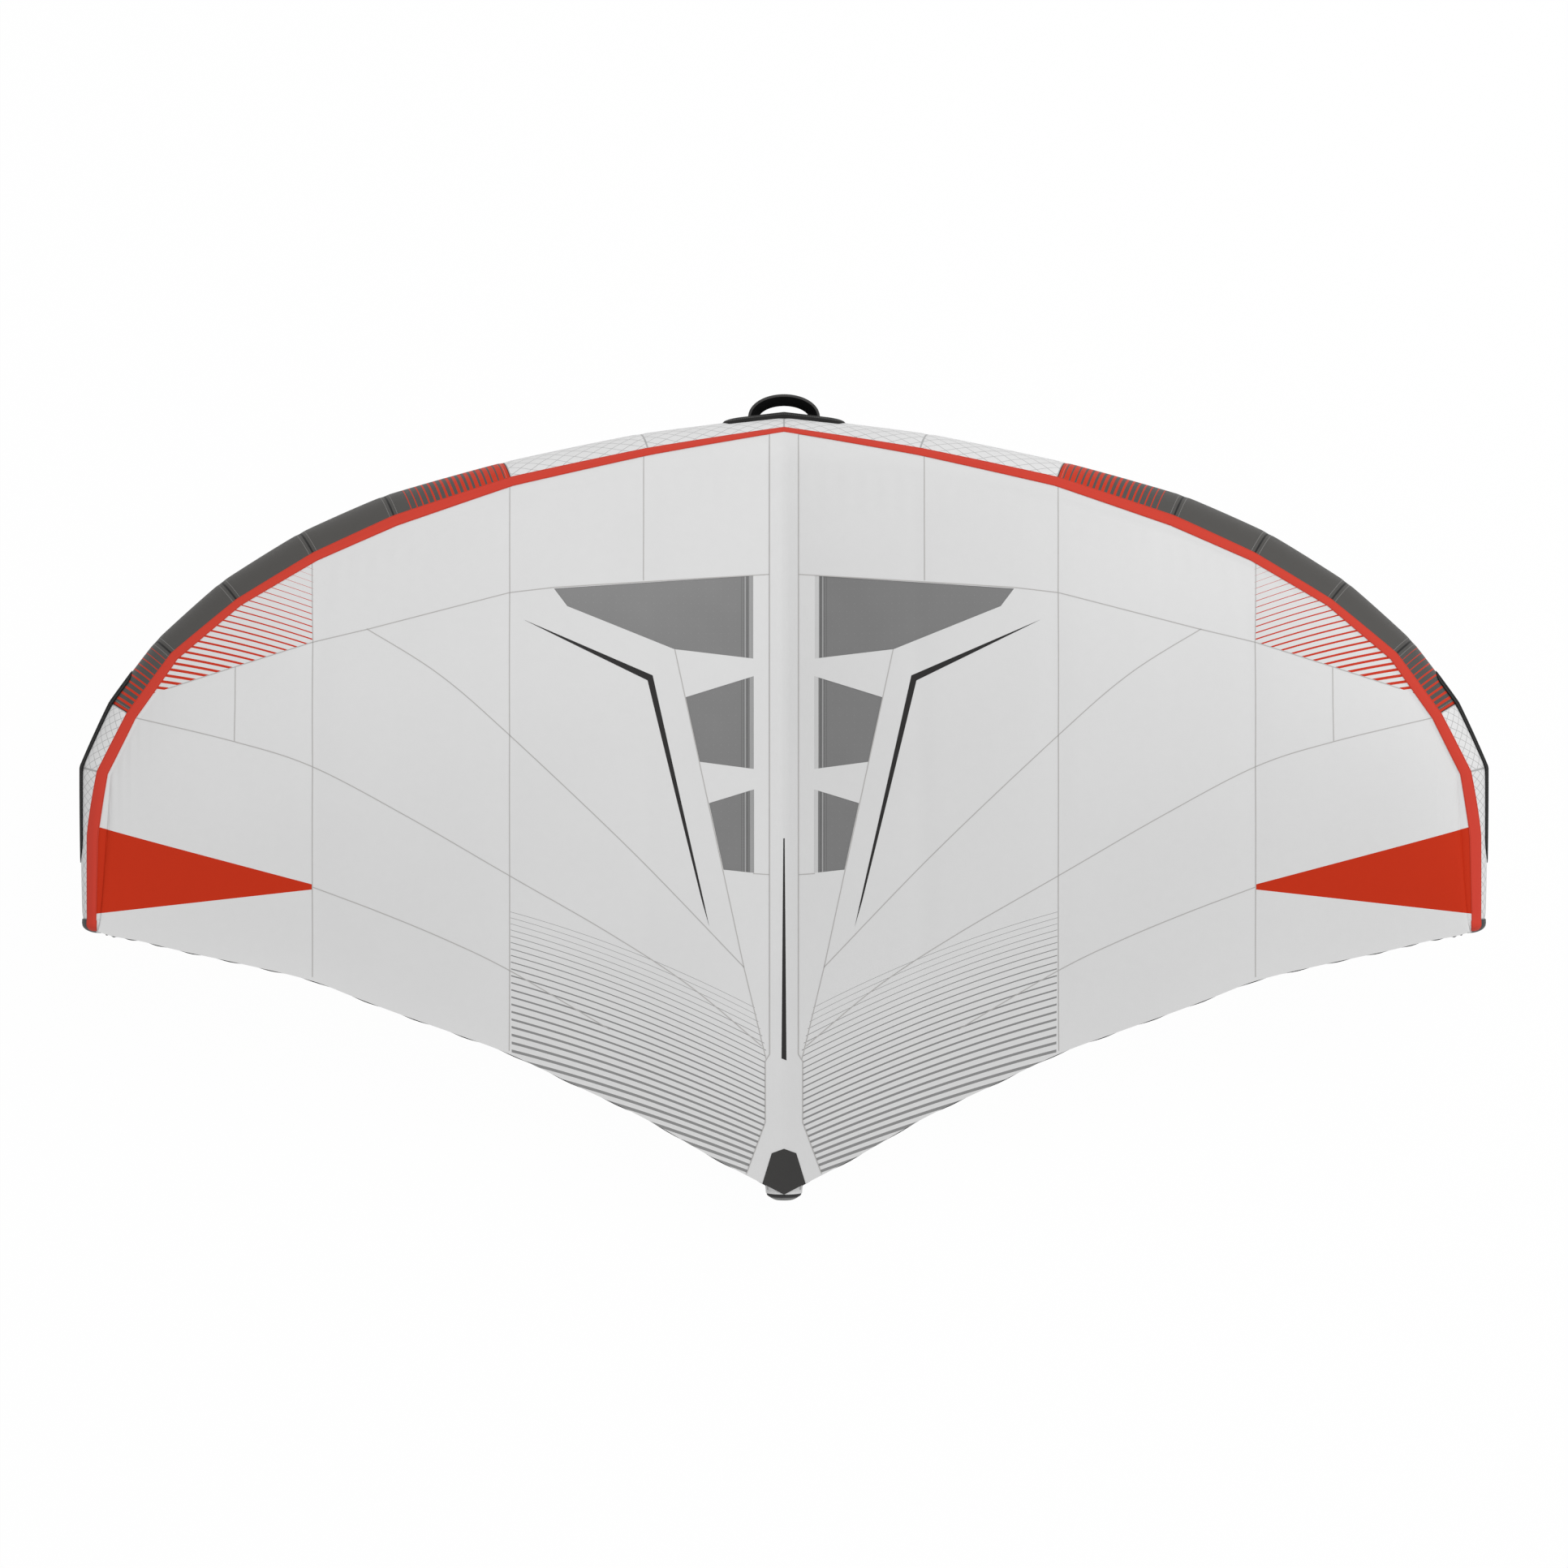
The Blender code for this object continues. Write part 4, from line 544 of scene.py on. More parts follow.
def makeFilm():  # smoked film with faint dots, and glued and sewn lines beside the strut
    material, tree, shader = newMaterial("smokedFilm", 0.38, Alpha=0.88, Coat_Weight=0.08, Coat_Roughness=0.3,
                                         Specular_IOR_Level=0.3)
    place = objectPlace(tree)
    haze = noise(tree, place, 9.0, 4.0)
    base = mixed(tree, haze, tint["film"], (0.21, 0.21, 0.21))
    at = axes(tree, place)
    fromStrut, along = calc(tree, "ABSOLUTE", at["X"]), calc(tree, "ADD", at["Y"], 10.0)
    dots = [offMiddle(tree, calc(tree, "DIVIDE", at[axis], filmLook["dotPitch"])) for axis in ("X", "Y")]
    dot = calc(tree, "LESS_THAN", calc(tree, "ADD", *dots), filmLook["dotSize"])
    base = mixed(tree, calc(tree, "MULTIPLY", dot, 0.35), base, (0.30, 0.30, 0.30))
    for offset, thread, pitch, tone in filmLook["lines"]:
        line = stitchesOn(tree, fromStrut, along, offset, thread, pitch)
        base = mixed(tree, calc(tree, "MULTIPLY", line, filmLook["lineAmount"]), base, (tone, tone, tone))
    tree.links.new(base, shader.inputs["Base Color"])
    bumpInto(tree, shader, haze, 0.15, 0.002)
    return material


def plainMould(name, base, roughness, grain=900.0, metallic=0.0, strength=0.15, rubbed=0.25):
    # moulded or brushed surface: fine grain, with a paler tone on its worn parts
    material, tree, shader = newMaterial(name, roughness, Metallic=metallic)
    place = objectPlace(tree)
    fine, broad = noise(tree, place, grain, 2.0), noise(tree, place, 24.0, 5.0)
    worn = ranged(tree, broad, 0.52, 0.75, 0.0, rubbed)
    tone = mixed(tree, worn, base, [min(1.0, c * 2.4 + 0.02) for c in base])
    tree.links.new(tone, shader.inputs["Base Color"])
    rough = ranged(tree, broad, 0.3, 0.7, roughness - 0.08, roughness + 0.1)
    tree.links.new(rough, shader.inputs["Roughness"])
    bumpInto(tree, shader, fine, strength, 0.0003)
    return material


smokedFilm = makeFilm()
rubber = plainMould("rubber", (0.010, 0.010, 0.010), 0.72, strength=0.4)
moulding = plainMould("blackMoulding", (0.022, 0.022, 0.024), 0.45)
alloy = plainMould("blackAlloy", (0.045, 0.045, 0.047), 0.36, metallic=0.85, strength=0.06)
foam = plainMould("gripFoam", (0.022, 0.022, 0.022), 0.86, grain=1500.0, strength=0.7, rubbed=0.4)
bladderFilm = plainMould("bladderFilm", (0.72, 0.73, 0.69), 0.35, strength=0.05, rubbed=0.1)
print("materials ready")

# Camera straight above the wing, as in the photograph
view = dict(place=(0.0, -0.364, 9.984), lens=89.08, sensor=36.0)
bpy.ops.object.camera_add(location=view["place"], rotation=(0.0, 0.0, 0.0))
camera = bpy.context.object
camera.name = "camera"
camera.data.lens, camera.data.sensor_width = view["lens"], view["sensor"]
camera.data.clip_end = 200.0
bpy.context.scene.camera = camera
bpy.context.scene.view_settings.view_transform = "Standard"

light = dict(place=(2.9, 3.1, 7.4), aim=(0.0, -0.4, 0.2), size=6.0, watts=325.0, world=0.64)
bpy.ops.object.light_add(type="AREA", location=light["place"])
lamp = bpy.context.object
lamp.name = "softbox"
lamp.data.size, lamp.data.energy = light["size"], light["watts"]
lampWay = Vector(light["aim"]) - Vector(light["place"])
lamp.rotation_euler = lampWay.to_track_quat("-Z", "Y").to_euler()
lamp.visible_camera = False
world = bpy.data.worlds.new("studio")
bpy.context.scene.world = world
world.use_nodes = True
sky = world.node_tree
background = sky.nodes["Background"]
background.inputs["Strength"].default_value = light["world"]
background.inputs["Color"].default_value = (1.0, 1.0, 1.0, 1.0)
white = addNode(sky, "ShaderNodeBackground", {"Color": (1.0, 1.0, 1.0, 1.0), "Strength": 1.0})


def seenRay(tree):
    paths = addNode(tree, "ShaderNodeLightPath").outputs
    seen = calc(tree, "MAXIMUM", paths["Is Camera Ray"], paths["Is Glossy Ray"])
    return calc(tree, "MAXIMUM", seen, paths["Is Transmission Ray"])


skyMix = addNode(sky, "ShaderNodeMixShader", [seenRay(sky), background.outputs[0], white.outputs[0]])
sky.links.new(skyMix.outputs[0], sky.nodes["World Output"].inputs["Surface"])

floor = dict(size=60.0, below=0.004, white=0.975, tone=0.9)
bpy.ops.mesh.primitive_plane_add(size=floor["size"], location=(0.0, 0.0, cadBox[0][2] - floor["below"]))
ground = bpy.context.object
ground.name = "floor"
pale, paleTree, paleShader = newMaterial("paleFloor", 0.9)
paleShader.inputs["Base Color"].default_value = (floor["tone"],) * 3 + (1.0,)
glow = addNode(paleTree, "ShaderNodeEmission", {"Color": (1.0, 1.0, 1.0, 1.0), "Strength": 1.0})
amount = calc(paleTree, "MULTIPLY", seenRay(paleTree), floor["white"])
paleMix = addNode(paleTree, "ShaderNodeMixShader", [amount, paleShader.outputs[0], glow.outputs[0]])
clear = addNode(paleTree, "ShaderNodeBsdfTransparent")  # the floor hides nothing from below
side = addNode(paleTree, "ShaderNodeNewGeometry").outputs["Backfacing"]
floorMix = addNode(paleTree, "ShaderNodeMixShader", [side, paleMix.outputs[0], clear.outputs[0]])
paleTree.links.new(floorMix.outputs[0], paleTree.nodes["Material Output"].inputs["Surface"])
ground.data.materials.append(pale)
print("camera, light and floor ready")

# Leading edge tube, nine sewn panels on each side
tube = dict(sides=72, wall=0.0012, pinch=0.0016, pinchReach=0.010, pucker=0.0009, puckerReach=0.045,
            steps=(0.0, 0.006, 0.014, 0.026, 0.042, 0.065, 0.10, 0.16, 0.25, 0.36, 0.5))
panelNames = ("light_inner", "light_outer", "striped_inner", "dark_inner", "dark_middle", "dark_outer",
              "striped_outer", "tip_front", "tip_rear")
panelKinds = ("light", "light", "stripedInner", "dark", "dark", "dark", "stripedOuter", "tip", "tip")


def tubeCrease(index, part, degrees, fromSeam):  # how far the cloth is drawn in beside a seam
    turn = math.radians(degrees)
    folds = math.sin(turn * 19 + index * 1.7) * 0.6 + math.sin(turn * 31 + part * 2.0) * 0.4
    pucker = tube["pucker"] * max(folds, -0.3) * math.exp(-fromSeam / tube["puckerReach"])
    return tube["pinch"] * math.exp(-(fromSeam / tube["pinchReach"]) ** 2) + abs(pucker)


def makeTubePanel(index, side):
    parts = list(tube["steps"]) + [1 - s for s in reversed(tube["steps"][:-1])]
    length = panelRun(index).length
    rows = []
    for part in parts:
        row = []
        for k in range(tube["sides"]):
            degrees = 360.0 * k / tube["sides"]
            lift = swell(index + part) - tubeCrease(index, part, degrees, min(part, 1 - part) * length)
            point = seamPoint(index, degrees, lift).lerp(seamPoint(index + 1, degrees, lift), part)
            row.append(toSide(point, side))
        rows.append(row)
    around = [math.tau * k / tube["sides"] for k in range(tube["sides"] + 1)]
    runStart = seamRun(index)
    layers = {
        "Cloth": lambda i, j: (runStart + parts[i] * length, around[j] * tubeRadius(index + parts[i])),
        "Edge": lambda i, j: (parts[i] * length, (1 - parts[i]) * length),
    }
    label = f"{panelNames[index]}_{sideNames[side]}"
    bm = gridMesh(rows, layers, wrap=True, flip=side > 0)
    piece = newPiece(f"casing_{label}", bm, [tubeCloth[panelKinds[index]]])
    giveThickness(piece, tube["wall"])
    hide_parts(f"tube_{label}")


for side in (-1, 1):
    for index in range(9):
        makeTubePanel(index, side)
print("tube panels ready")

tipCap = dict(straight=0.012, dome=0.020, angles=(0, 12, 24, 36, 48, 60, 70, 78, 84),
              sleeve=((0.0, 0.0004), (0.0006, 0.002), (0.0006, 0.010)),  # lifts and places of its first rings
              ringRun=0.005, sideRun=0.0033)


def tipRing(lift, side, shift, sides=tube["sides"]):
    along = panelRun(8).normalized() * shift
    return [toSide(seamPoint(9, 360.0 * k / sides, lift) + along, side) for k in range(sides)]


def makeTipCap(side):
    rows = [tipRing(lift, side, shift) for lift, shift in tipCap["sleeve"]]
    for angle in tipCap["angles"]:
        cos, sin = onCircle(angle)
        rows.append(tipRing(-seamRadius(9) * (1 - cos), side, tipCap["straight"] + tipCap["dome"] * sin))
    layers = {"Cloth": lambda i, j: (i * tipCap["ringRun"], j * tipCap["sideRun"])}
    bm = gridMesh(rows, layers, wrap=True, flip=side > 0)
    bm.verts.ensure_lookup_table()
    last = bm.verts[-tube["sides"]:]
    bm.faces.new(last if side < 0 else list(reversed(last)))
    label = sideNames[side]
    piece = newPiece(f"endCap_{label}", bm, [capCloth])
    giveThickness(piece, tube["wall"])
    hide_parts(f"tip_cap_{label}")


for side in (-1, 1):
    makeTipCap(side)

# Air bladder inside the tube, one tapered tube from tip to tip
bladder = dict(gap=0.0024, sides=40, parts=(0.03, 0.5, 0.97), endAngles=(0, 25, 50, 75), endDome=0.010)


def makeTubeBladder():
    lift = -tube["wall"] - bladder["gap"] - tube["pinch"]
    places = [0.0] + [index + part for index in range(9) for part in bladder["parts"]]
    turns = [360.0 * k / bladder["sides"] for k in range(bladder["sides"])]
    half = [[tubePoint(at, degrees, lift) for degrees in turns] for at in places]
    for angle in bladder["endAngles"]:
        cos, sin = onCircle(angle)
        drawn = lift - (seamRadius(9) + lift) * (1 - cos)
        half.append(tipRing(drawn, 1, bladder["endDome"] * sin, bladder["sides"]))
    rows = [[toSide(point, -1) for point in row] for row in reversed(half)] + half[1:]
    bm = gridMesh(rows, wrap=True, flip=True)
    closeEnds(bm, bladder["sides"])
    piece = newPiece("innerTube", bm, [bladderFilm])
    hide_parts("tube_bladder")


makeTubeBladder()
print("tip caps and bladder ready")

# Canopy, one continuous sheet from tip to tip
canopy = dict(thickness=0.0008, lift=0.0011, lapDegrees=2.6, wrapRows=6, chordRows=84,
              columns=(23, 22, 19, 13, 12, 11, 10, 10, 18),
              chordGrowth=1.12, pucker=0.0013, puckerWave=0.052, puckerBeat=7.3, puckerStart=0.03,
              puckerReach=0.075, valley=0.0022, valleyReach=0.030, seams=(1.0, 2.0, 4.0))


def camberHeight(share):
    return share * (1 - share) ** 1.5 / (0.4 * 0.6**1.5)


def canopyEnd(at):
    across, back = smoothTable(columnTable, at, 1), smoothTable(columnTable, at, 2)
    climb = wing["tipRise"] + wing["cornerRise"] + wing["tailDrop"]
    height = wing["gripBelowNose"] + climb * max(across, 0.0) ** 1.15 - wing["tailDrop"]
    return Vector((across * wing["halfSpan"], wing["noseAhead"] - back * wing["chord"], height))


def canopyPoint(at, share, side, lift):
    leave = tubePoint(at, between(canopyLeave, at), swell(at) + lift)
    end = canopyEnd(at) + up * lift
    length = (end - leave).length
    point = leave.lerp(end, share)
    point.z += smoothTable(columnTable, at, 3) * length * camberHeight(share)
    run, back = seamRun(at), share * length
    beat = 0.6 + 0.4 * math.sin(run * canopy["puckerBeat"])
    fold = math.sin(run / canopy["puckerWave"] * math.tau) * beat
    begun, faded = min(back / canopy["puckerStart"], 1.0), math.exp(-back / canopy["puckerReach"])
    point.z += canopy["pucker"] * fold * begun * faded
    for seam in canopy["seams"]:
        away = (seamRun(seam) - run) / canopy["valleyReach"]
        point.z -= canopy["valley"] * math.exp(-away * away) * math.sin(math.pi * share) ** 0.5
    return toSide(point, side)


def columnPlaces():
    places = [k + j / count for k, count in enumerate(canopy["columns"]) for j in range(count)]
    return [*places, 9.0]


def bothSides(places):  # from the left tip over the nose to the right one
    return [(-1, at) for at in reversed(places)] + [(1, at) for at in places[1:]]


def canopyRows(lift):
    sides = bothSides(columnPlaces())
    rows = []
    for k in range(canopy["wrapRows"]):
        row = []
        for side, at in sides:
            start = bandEdges(at)[1] - canopy["lapDegrees"]
            degrees = start + (between(canopyLeave, at) - start) * k / canopy["wrapRows"]
            row.append(tubePoint(at, degrees, swell(at) + lift, side))
        rows.append(row)
    for k in range(canopy["chordRows"] + 1):
        share = (k / canopy["chordRows"]) ** canopy["chordGrowth"]
        rows.append([canopyPoint(at, share, side, lift) for side, at in sides])
    return rows


stripes = dict(greyFirst=((0.656, -0.687), (0.336, -0.801), (0.124, -0.900)),
               greyLater=((0.661, -1.0355), (0.339, -1.140), (0.125, -1.226)), greyCount=20.0,
               greySpread=0.97, greyFan=0.205, redFan=(57.018, -58.118, 79.963, 15.912, -12.943, -6.64))


def throughThree(points, x):  # the parabola through three points
    total = 0.0
    for i, (xi, yi) in enumerate(points):
        term = yi
        for j, (xj, _) in enumerate(points):
            if i != j:
                term *= (x - xj) / (xi - xj)
        total += term
    return total


def printPlace(x, y):
    top, end = throughThree(stripes["greyFirst"], x), throughThree(stripes["greyLater"], x)
    way = (top - y) / (top - end)
    a = stripes["greySpread"] - stripes["greyFan"] * x
    if way < 0:
        return way * stripes["greyCount"] / a
    return (math.sqrt(a * a + 4 * (1 - a) * way) - a) / (2 * (1 - a)) * stripes["greyCount"]


def redPlace(x, y):
    return sum(a * b for a, b in zip(stripes["redFan"], (1.0, x, y, x * x, x * y, y * y)))


def mirroredOutline(outline, side):
    return [(x * side, y) for x, y in outline]


def insideOutline(outline, x, y):
    inside = False
    for (x0, y0), (x1, y1) in zip(outline, list(outline[1:]) + [outline[0]]):
        if (y0 > y) != (y1 > y) and x < x0 + (y - y0) * (x1 - x0) / (y1 - y0):
            inside = not inside
    return inside


def cutAlong(bm, outline, closed=True, margin=0.035):  # cuts the faces below each straight edge
    ends = list(outline[1:]) + ([outline[0]] if closed else [])
    for (x0, y0), (x1, y1) in zip(outline, ends):
        start, run = Vector((x0, y0, 0.0)), Vector((x1 - x0, y1 - y0, 0.0))
        length, along = run.length, run.normalized()
        across = along.cross(up)
        near = []
        for face in bm.faces:
            middle = face.calc_center_median() - start
            if -margin < middle.dot(along) < length + margin and abs(middle.dot(across)) < margin:
                near.append(face)
        parts = set(near) | {e for f in near for e in f.edges} | {v for f in near for v in f.verts}
        bmesh.ops.bisect_plane(bm, geom=list(parts), plane_co=start, plane_no=across, dist=2e-5)


windows = (
    ((0.5655, 0.1165), (0.0767, 0.1538), (0.0767, -0.0518), (0.2715, -0.0304), (0.5330, 0.0735)),
    ((0.2446, -0.1494), (0.0754, -0.0956), (0.0754, -0.3265), (0.2092, -0.3089)),
    ((0.1864, -0.4116), (0.0747, -0.3774), (0.0747, -0.5864), (0.1509, -0.5778)),
)
redTriangle = ((1.158, -0.6105), (1.75, -0.4450), (1.75, -0.6880), (1.158, -0.6230))
stripedPanel = ((1.152, 0.260), (1.1490, -0.018), (1.600, -0.1655), (1.60, 0.260))
greyRegion = ((0.6775, -0.600), (0.6810, -1.20), (0.094, -1.45), (0.094, -1.349), (0.047, -1.219),
              (0.047, -1.055), (0.0430, -1.043), (0.1000, -0.826), (0.1350, -0.660))


def makeCanopy():
    rows = canopyRows(canopy["lift"] + canopy["thickness"])
    bm = gridMesh(rows, {}, flip=True)
    for side in (-1, 1):
        for outline in windows:
            cutAlong(bm, mirroredOutline(outline, side))
        cutAlong(bm, mirroredOutline(redTriangle, side))
        cutAlong(bm, mirroredOutline(stripedPanel, side)[:3], closed=False)
        cutAlong(bm, mirroredOutline(greyRegion, side)[2:8], closed=False)
        cutAlong(bm, mirroredOutline(greyRegion, side)[:2], closed=False)
    printed = bm.loops.layers.uv.new("Print")
    gone = []
    for face in bm.faces:
        middle = face.calc_center_median()
        x, y = abs(middle.x), middle.y
        if any(insideOutline(outline, x, y) for outline in windows):
            gone.append(face)
            continue
        region = 0.0
        if insideOutline(redTriangle, x, y):
            face.material_index = 1
        elif insideOutline(stripedPanel, x, y):
            face.material_index = 2
        elif insideOutline(greyRegion, x, y):
            region = 1.0
        for loop in face.loops:
            at = loop.vert.co
            if face.material_index == 2:
                loop[printed].uv = (redPlace(abs(at.x), at.y), region)
            else:
                loop[printed].uv = (printPlace(abs(at.x), at.y), region)
    bmesh.ops.delete(bm, geom=gone, context="FACES")
    piece = newPiece("canopySheet", bm, [canopyCloth[kind] for kind in ("light", "red", "striped")])
    giveThickness(piece, canopy["thickness"])
    panels = [f"{part}_{label}" for part in ("inner", "middle", "tip") for label in ("left", "right")]
    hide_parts(*[f"canopy_{panel}" for panel in panels])


makeCanopy()
print("canopy ready")
topRows = canopyRows(canopy["lift"] + canopy["thickness"])


def patchMesh(outline, lift, margin=0.05):  # a piece of the canopy's own surface, cut to an outline
    low = [min(p[k] for p in outline) - margin for k in (0, 1)]
    high = [max(p[k] for p in outline) + margin for k in (0, 1)]
    bm = bmesh.new()
    made = {}

    def vert(i, j):
        if (i, j) not in made:
            made[i, j] = bm.verts.new(topRows[i][j] + up * lift)
        return made[i, j]

    for i in range(len(topRows) - 1):
        for j in range(len(topRows[0]) - 1):
            p = topRows[i][j]
            if low[0] < p.x < high[0] and low[1] < p.y < high[1]:
                bm.faces.new((vert(i + 1, j), vert(i + 1, j + 1), vert(i, j + 1), vert(i, j)))
    cutAlong(bm, outline)
    outside = [f for f in bm.faces if not insideOutline(outline, *f.calc_center_median()[:2])]
    bmesh.ops.delete(bm, geom=outside, context="FACES")
    return bm


def grown(outline, amount):  # the outline moved outwards by an amount
    middle = sum((Vector(p) for p in outline), Vector((0.0, 0.0))) / len(outline)
    points = []
    for k, point in enumerate(outline):
        point = Vector(point)
        before = (point - Vector(outline[k - 1])).normalized()
        after = (Vector(outline[(k + 1) % len(outline)]) - point).normalized()
        bisector = (before - after).normalized()
        if bisector.dot(point - middle) < 0:
            bisector = -bisector
        sine = abs(before.x * bisector.y - before.y * bisector.x)
        points.append(tuple(point + bisector * amount / sine))
    return points


film = dict(lap=0.008, drop=0.0014, thickness=0.0005)


def makeWindow(index, side):
    label = f"{windowNames[index]}_{sideNames[side]}"
    outline = grown(mirroredOutline(windows[index], side), film["lap"])
    piece = newPiece(f"windowFilm_{label}", patchMesh(outline, -film["drop"]), [smokedFilm])
    giveThickness(piece, film["thickness"])
    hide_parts(f"window_{label}")


for side in (-1, 1):
    for index in range(3):
        makeWindow(index, side)
print("windows ready")

topWide = len(topRows[0])
topFaces = [(i * topWide + j, i * topWide + j + 1, (i + 1) * topWide + j + 1, (i + 1) * topWide + j)
            for i in range(len(topRows) - 1) for j in range(topWide - 1)]
topTree = BVHTree.FromPolygons([p for row in topRows for p in row], topFaces)


def canopyHeight(x, y):
    hit = topTree.ray_cast(Vector((x, y, 3.0)), -up)[0]
    return hit.z if hit else None


def walk(points, spacing, smooth):
    fine = []
    for k in range(len(points) - 1):
        p = [Vector(points[max(min(j, len(points) - 1), 0)]) for j in range(k - 1, k + 3)]
        steps = max(int((p[2] - p[1]).length / spacing), 1)
        for j in range(steps):
            t = j / steps
            if smooth:
                square = (2 * p[0] - 5 * p[1] + 4 * p[2] - p[3]) * t * t
                cube = (3 * p[1] - p[0] - 3 * p[2] + p[3]) * t**3
                fine.append(0.5 * (2 * p[1] + (p[2] - p[0]) * t + square + cube))
            else:
                fine.append(p[1].lerp(p[2], t))
    return fine + [Vector(points[-1])]


def tapeOnCanopy(name, points, width, lift, thickness, material, smooth=False, spacing=0.012):
    line = walk(points, spacing, smooth)
    rows, run = [], [0.0]
    for k, point in enumerate(line):
        along = (line[min(k + 1, len(line) - 1)] - line[max(k - 1, 0)]).normalized()
        across = Vector((-along.y, along.x)) * width / 2
        row = []
        for share in (-1, 0, 1):
            x, y = point + across * share
            z = canopyHeight(x, y)
            row.append(None if z is None else Vector((x, y, z + lift)))
        rows.append(row)
        run.append(run[-1] + spacing)
    rows = [row for row in rows if None not in row]
    layers = {"Cloth": lambda i, j: (run[i], j / 2)}
    piece = newPiece(name, gridMesh(rows, layers, flip=True), [material])
    giveThickness(piece, thickness)
    if sum(p.normal.z for p in piece.data.polygons[: len(rows) - 1]) < 0:
        piece.data.flip_normals()
    return piece


seam = dict(width=0.0023, lift=0.0005, thickness=0.0004, spacing=0.006)
seamLines = (
    ("inner", ((0.348, 0.470), (0.347, 0.290), (0.347, 0.139)), False),
    ("middle", ((0.676, 0.386), (0.673, 0.118), (0.674, -0.244), (0.678, -0.591), (0.682, -0.828),
                (0.686, -1.030)), False),
    ("outer", ((1.155, 0.195), (1.149, -0.018), (1.151, -0.322), (1.158, -0.611), (1.163, -0.840)), False),
    ("short", ((1.335, -0.079), (1.335, -0.169), (1.337, -0.260)), False),
    ("front", ((0.0365, 0.158), (0.565, 0.1195), (0.673, 0.106), (1.013, 0.015), (1.149, -0.018),
               (1.498, -0.132)), False),
    ("sweep", ((1.019, 0.015), (0.846, -0.094), (0.674, -0.244), (0.375, -0.533), (0.100, -0.824)), True),
    ("tip", ((1.584, -0.2012), (1.337, -0.261), (1.151, -0.322), (0.928, -0.442), (0.678, -0.591),
             (0.434, -0.736), (0.236, -0.870), (0.056, -1.024)), True),
    ("lower", ((1.158, -0.617), (1.002, -0.678), (0.836, -0.750), (0.682, -0.828), (0.437, -0.978)), True),
    ("strut", ((0.270, -0.031), (0.210, -0.310), (0.152, -0.581), (0.100, -0.826), (0.0455, -1.0560)), False),
    ("cross", ((0.077, -0.588), (0.0365, -0.591)), False),
)


def makeSeams(side):
    label = sideNames[side]
    for name, points, smooth in seamLines:
        piece = tapeOnCanopy(f"seam_{name}_{label}", mirroredOutline(points, side), seam["width"],
                             seam["lift"], seam["thickness"], seamTape, smooth, seam["spacing"])


for side in (-1, 1):
    makeSeams(side)
print("canopy seams ready")

prints = dict(lift=0.0004, thickness=0.00025)
accent = ((0.638, 0.039), (0.4827, -0.0276), (0.3245, -0.0955), (0.2603, -0.3858), (0.2001, -0.6574),
          (0.187, -0.719), (0.2044, -0.6574), (0.2703, -0.3858), (0.337, -0.108), (0.4863, -0.0354))
accentShift = {-1: 0.0, 1: -0.0097}  # the right one sits a little nearer the strut
centreLine = ((0.0017, -0.500), (0.0062, -1.0610), (-0.0062, -1.0560), (-0.0017, -0.500))


def makePrint(name, outline, lift, thickness, material):
    piece = newPiece(name, patchMesh(outline, lift), [material])
    giveThickness(piece, thickness)
    return piece


strip = dict(lift=0.0010, thickness=0.0007, half=0.0358, front=0.535, seamBack=0.010)
stripEdge = ((strip["half"], -1.0450), (0.0470, -1.0630), (0.047, -1.219), (0.0945, -1.349), (0.1080, -1.420))


def makeStrip():
    right = [(strip["half"], strip["front"]), *stripEdge]
    outline = right + mirroredOutline(reversed(right), -1)
    piece = newPiece("strutStrip", patchMesh(outline, strip["lift"]), [stripCloth])
    giveThickness(piece, strip["thickness"])
    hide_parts("canopy_strut_strip")
    for side in (-1, 1):
        points = mirroredOutline([(strip["half"], strip["front"] - strip["seamBack"]), *stripEdge[:-1]], side)
        edge = tapeOnCanopy(f"stripSeam_{sideNames[side]}", points, seam["width"],
                            strip["lift"] + seam["lift"], seam["thickness"], seamTape)


makeStrip()
for side in (-1, 1):
    placed = [(x * side + accentShift[side], y) for x, y in accent]
    makePrint(f"accent_{sideNames[side]}", placed, prints["lift"], prints["thickness"], darkPrint)
makePrint("centreLine", centreLine, strip["lift"] + prints["lift"], prints["thickness"], darkPrint)
print("strip and printed lines ready")

# Closing band over the canopy's front edge
band = dict(thickness=0.0010, low=0.0006, high=0.0026, climb=1.6, across=6, capLift=0.0006, capSpread=2.0,
            capRun=0.005,
            onCap=((0.003, 0), (0.008, 0), (0.012, 0), (0.012, 14), (0.012, 28), (0.012, 42), (0.012, 54)))


def bandPoint(at, degrees, lift, side):  # past the last seam the band lies on the tip cap
    if at <= 9.0:
        return tubePoint(at, degrees, swell(at) + lift, side)
    shift, angle = band["onCap"][round(at - 10.0)]
    cos, sin = onCircle(angle)
    drawn = lift + band["capLift"] - seamRadius(9) * (1 - cos)
    point = seamPoint(9, degrees, drawn) + panelRun(8).normalized() * (shift + tipCap["dome"] * sin)
    return toSide(point, side)


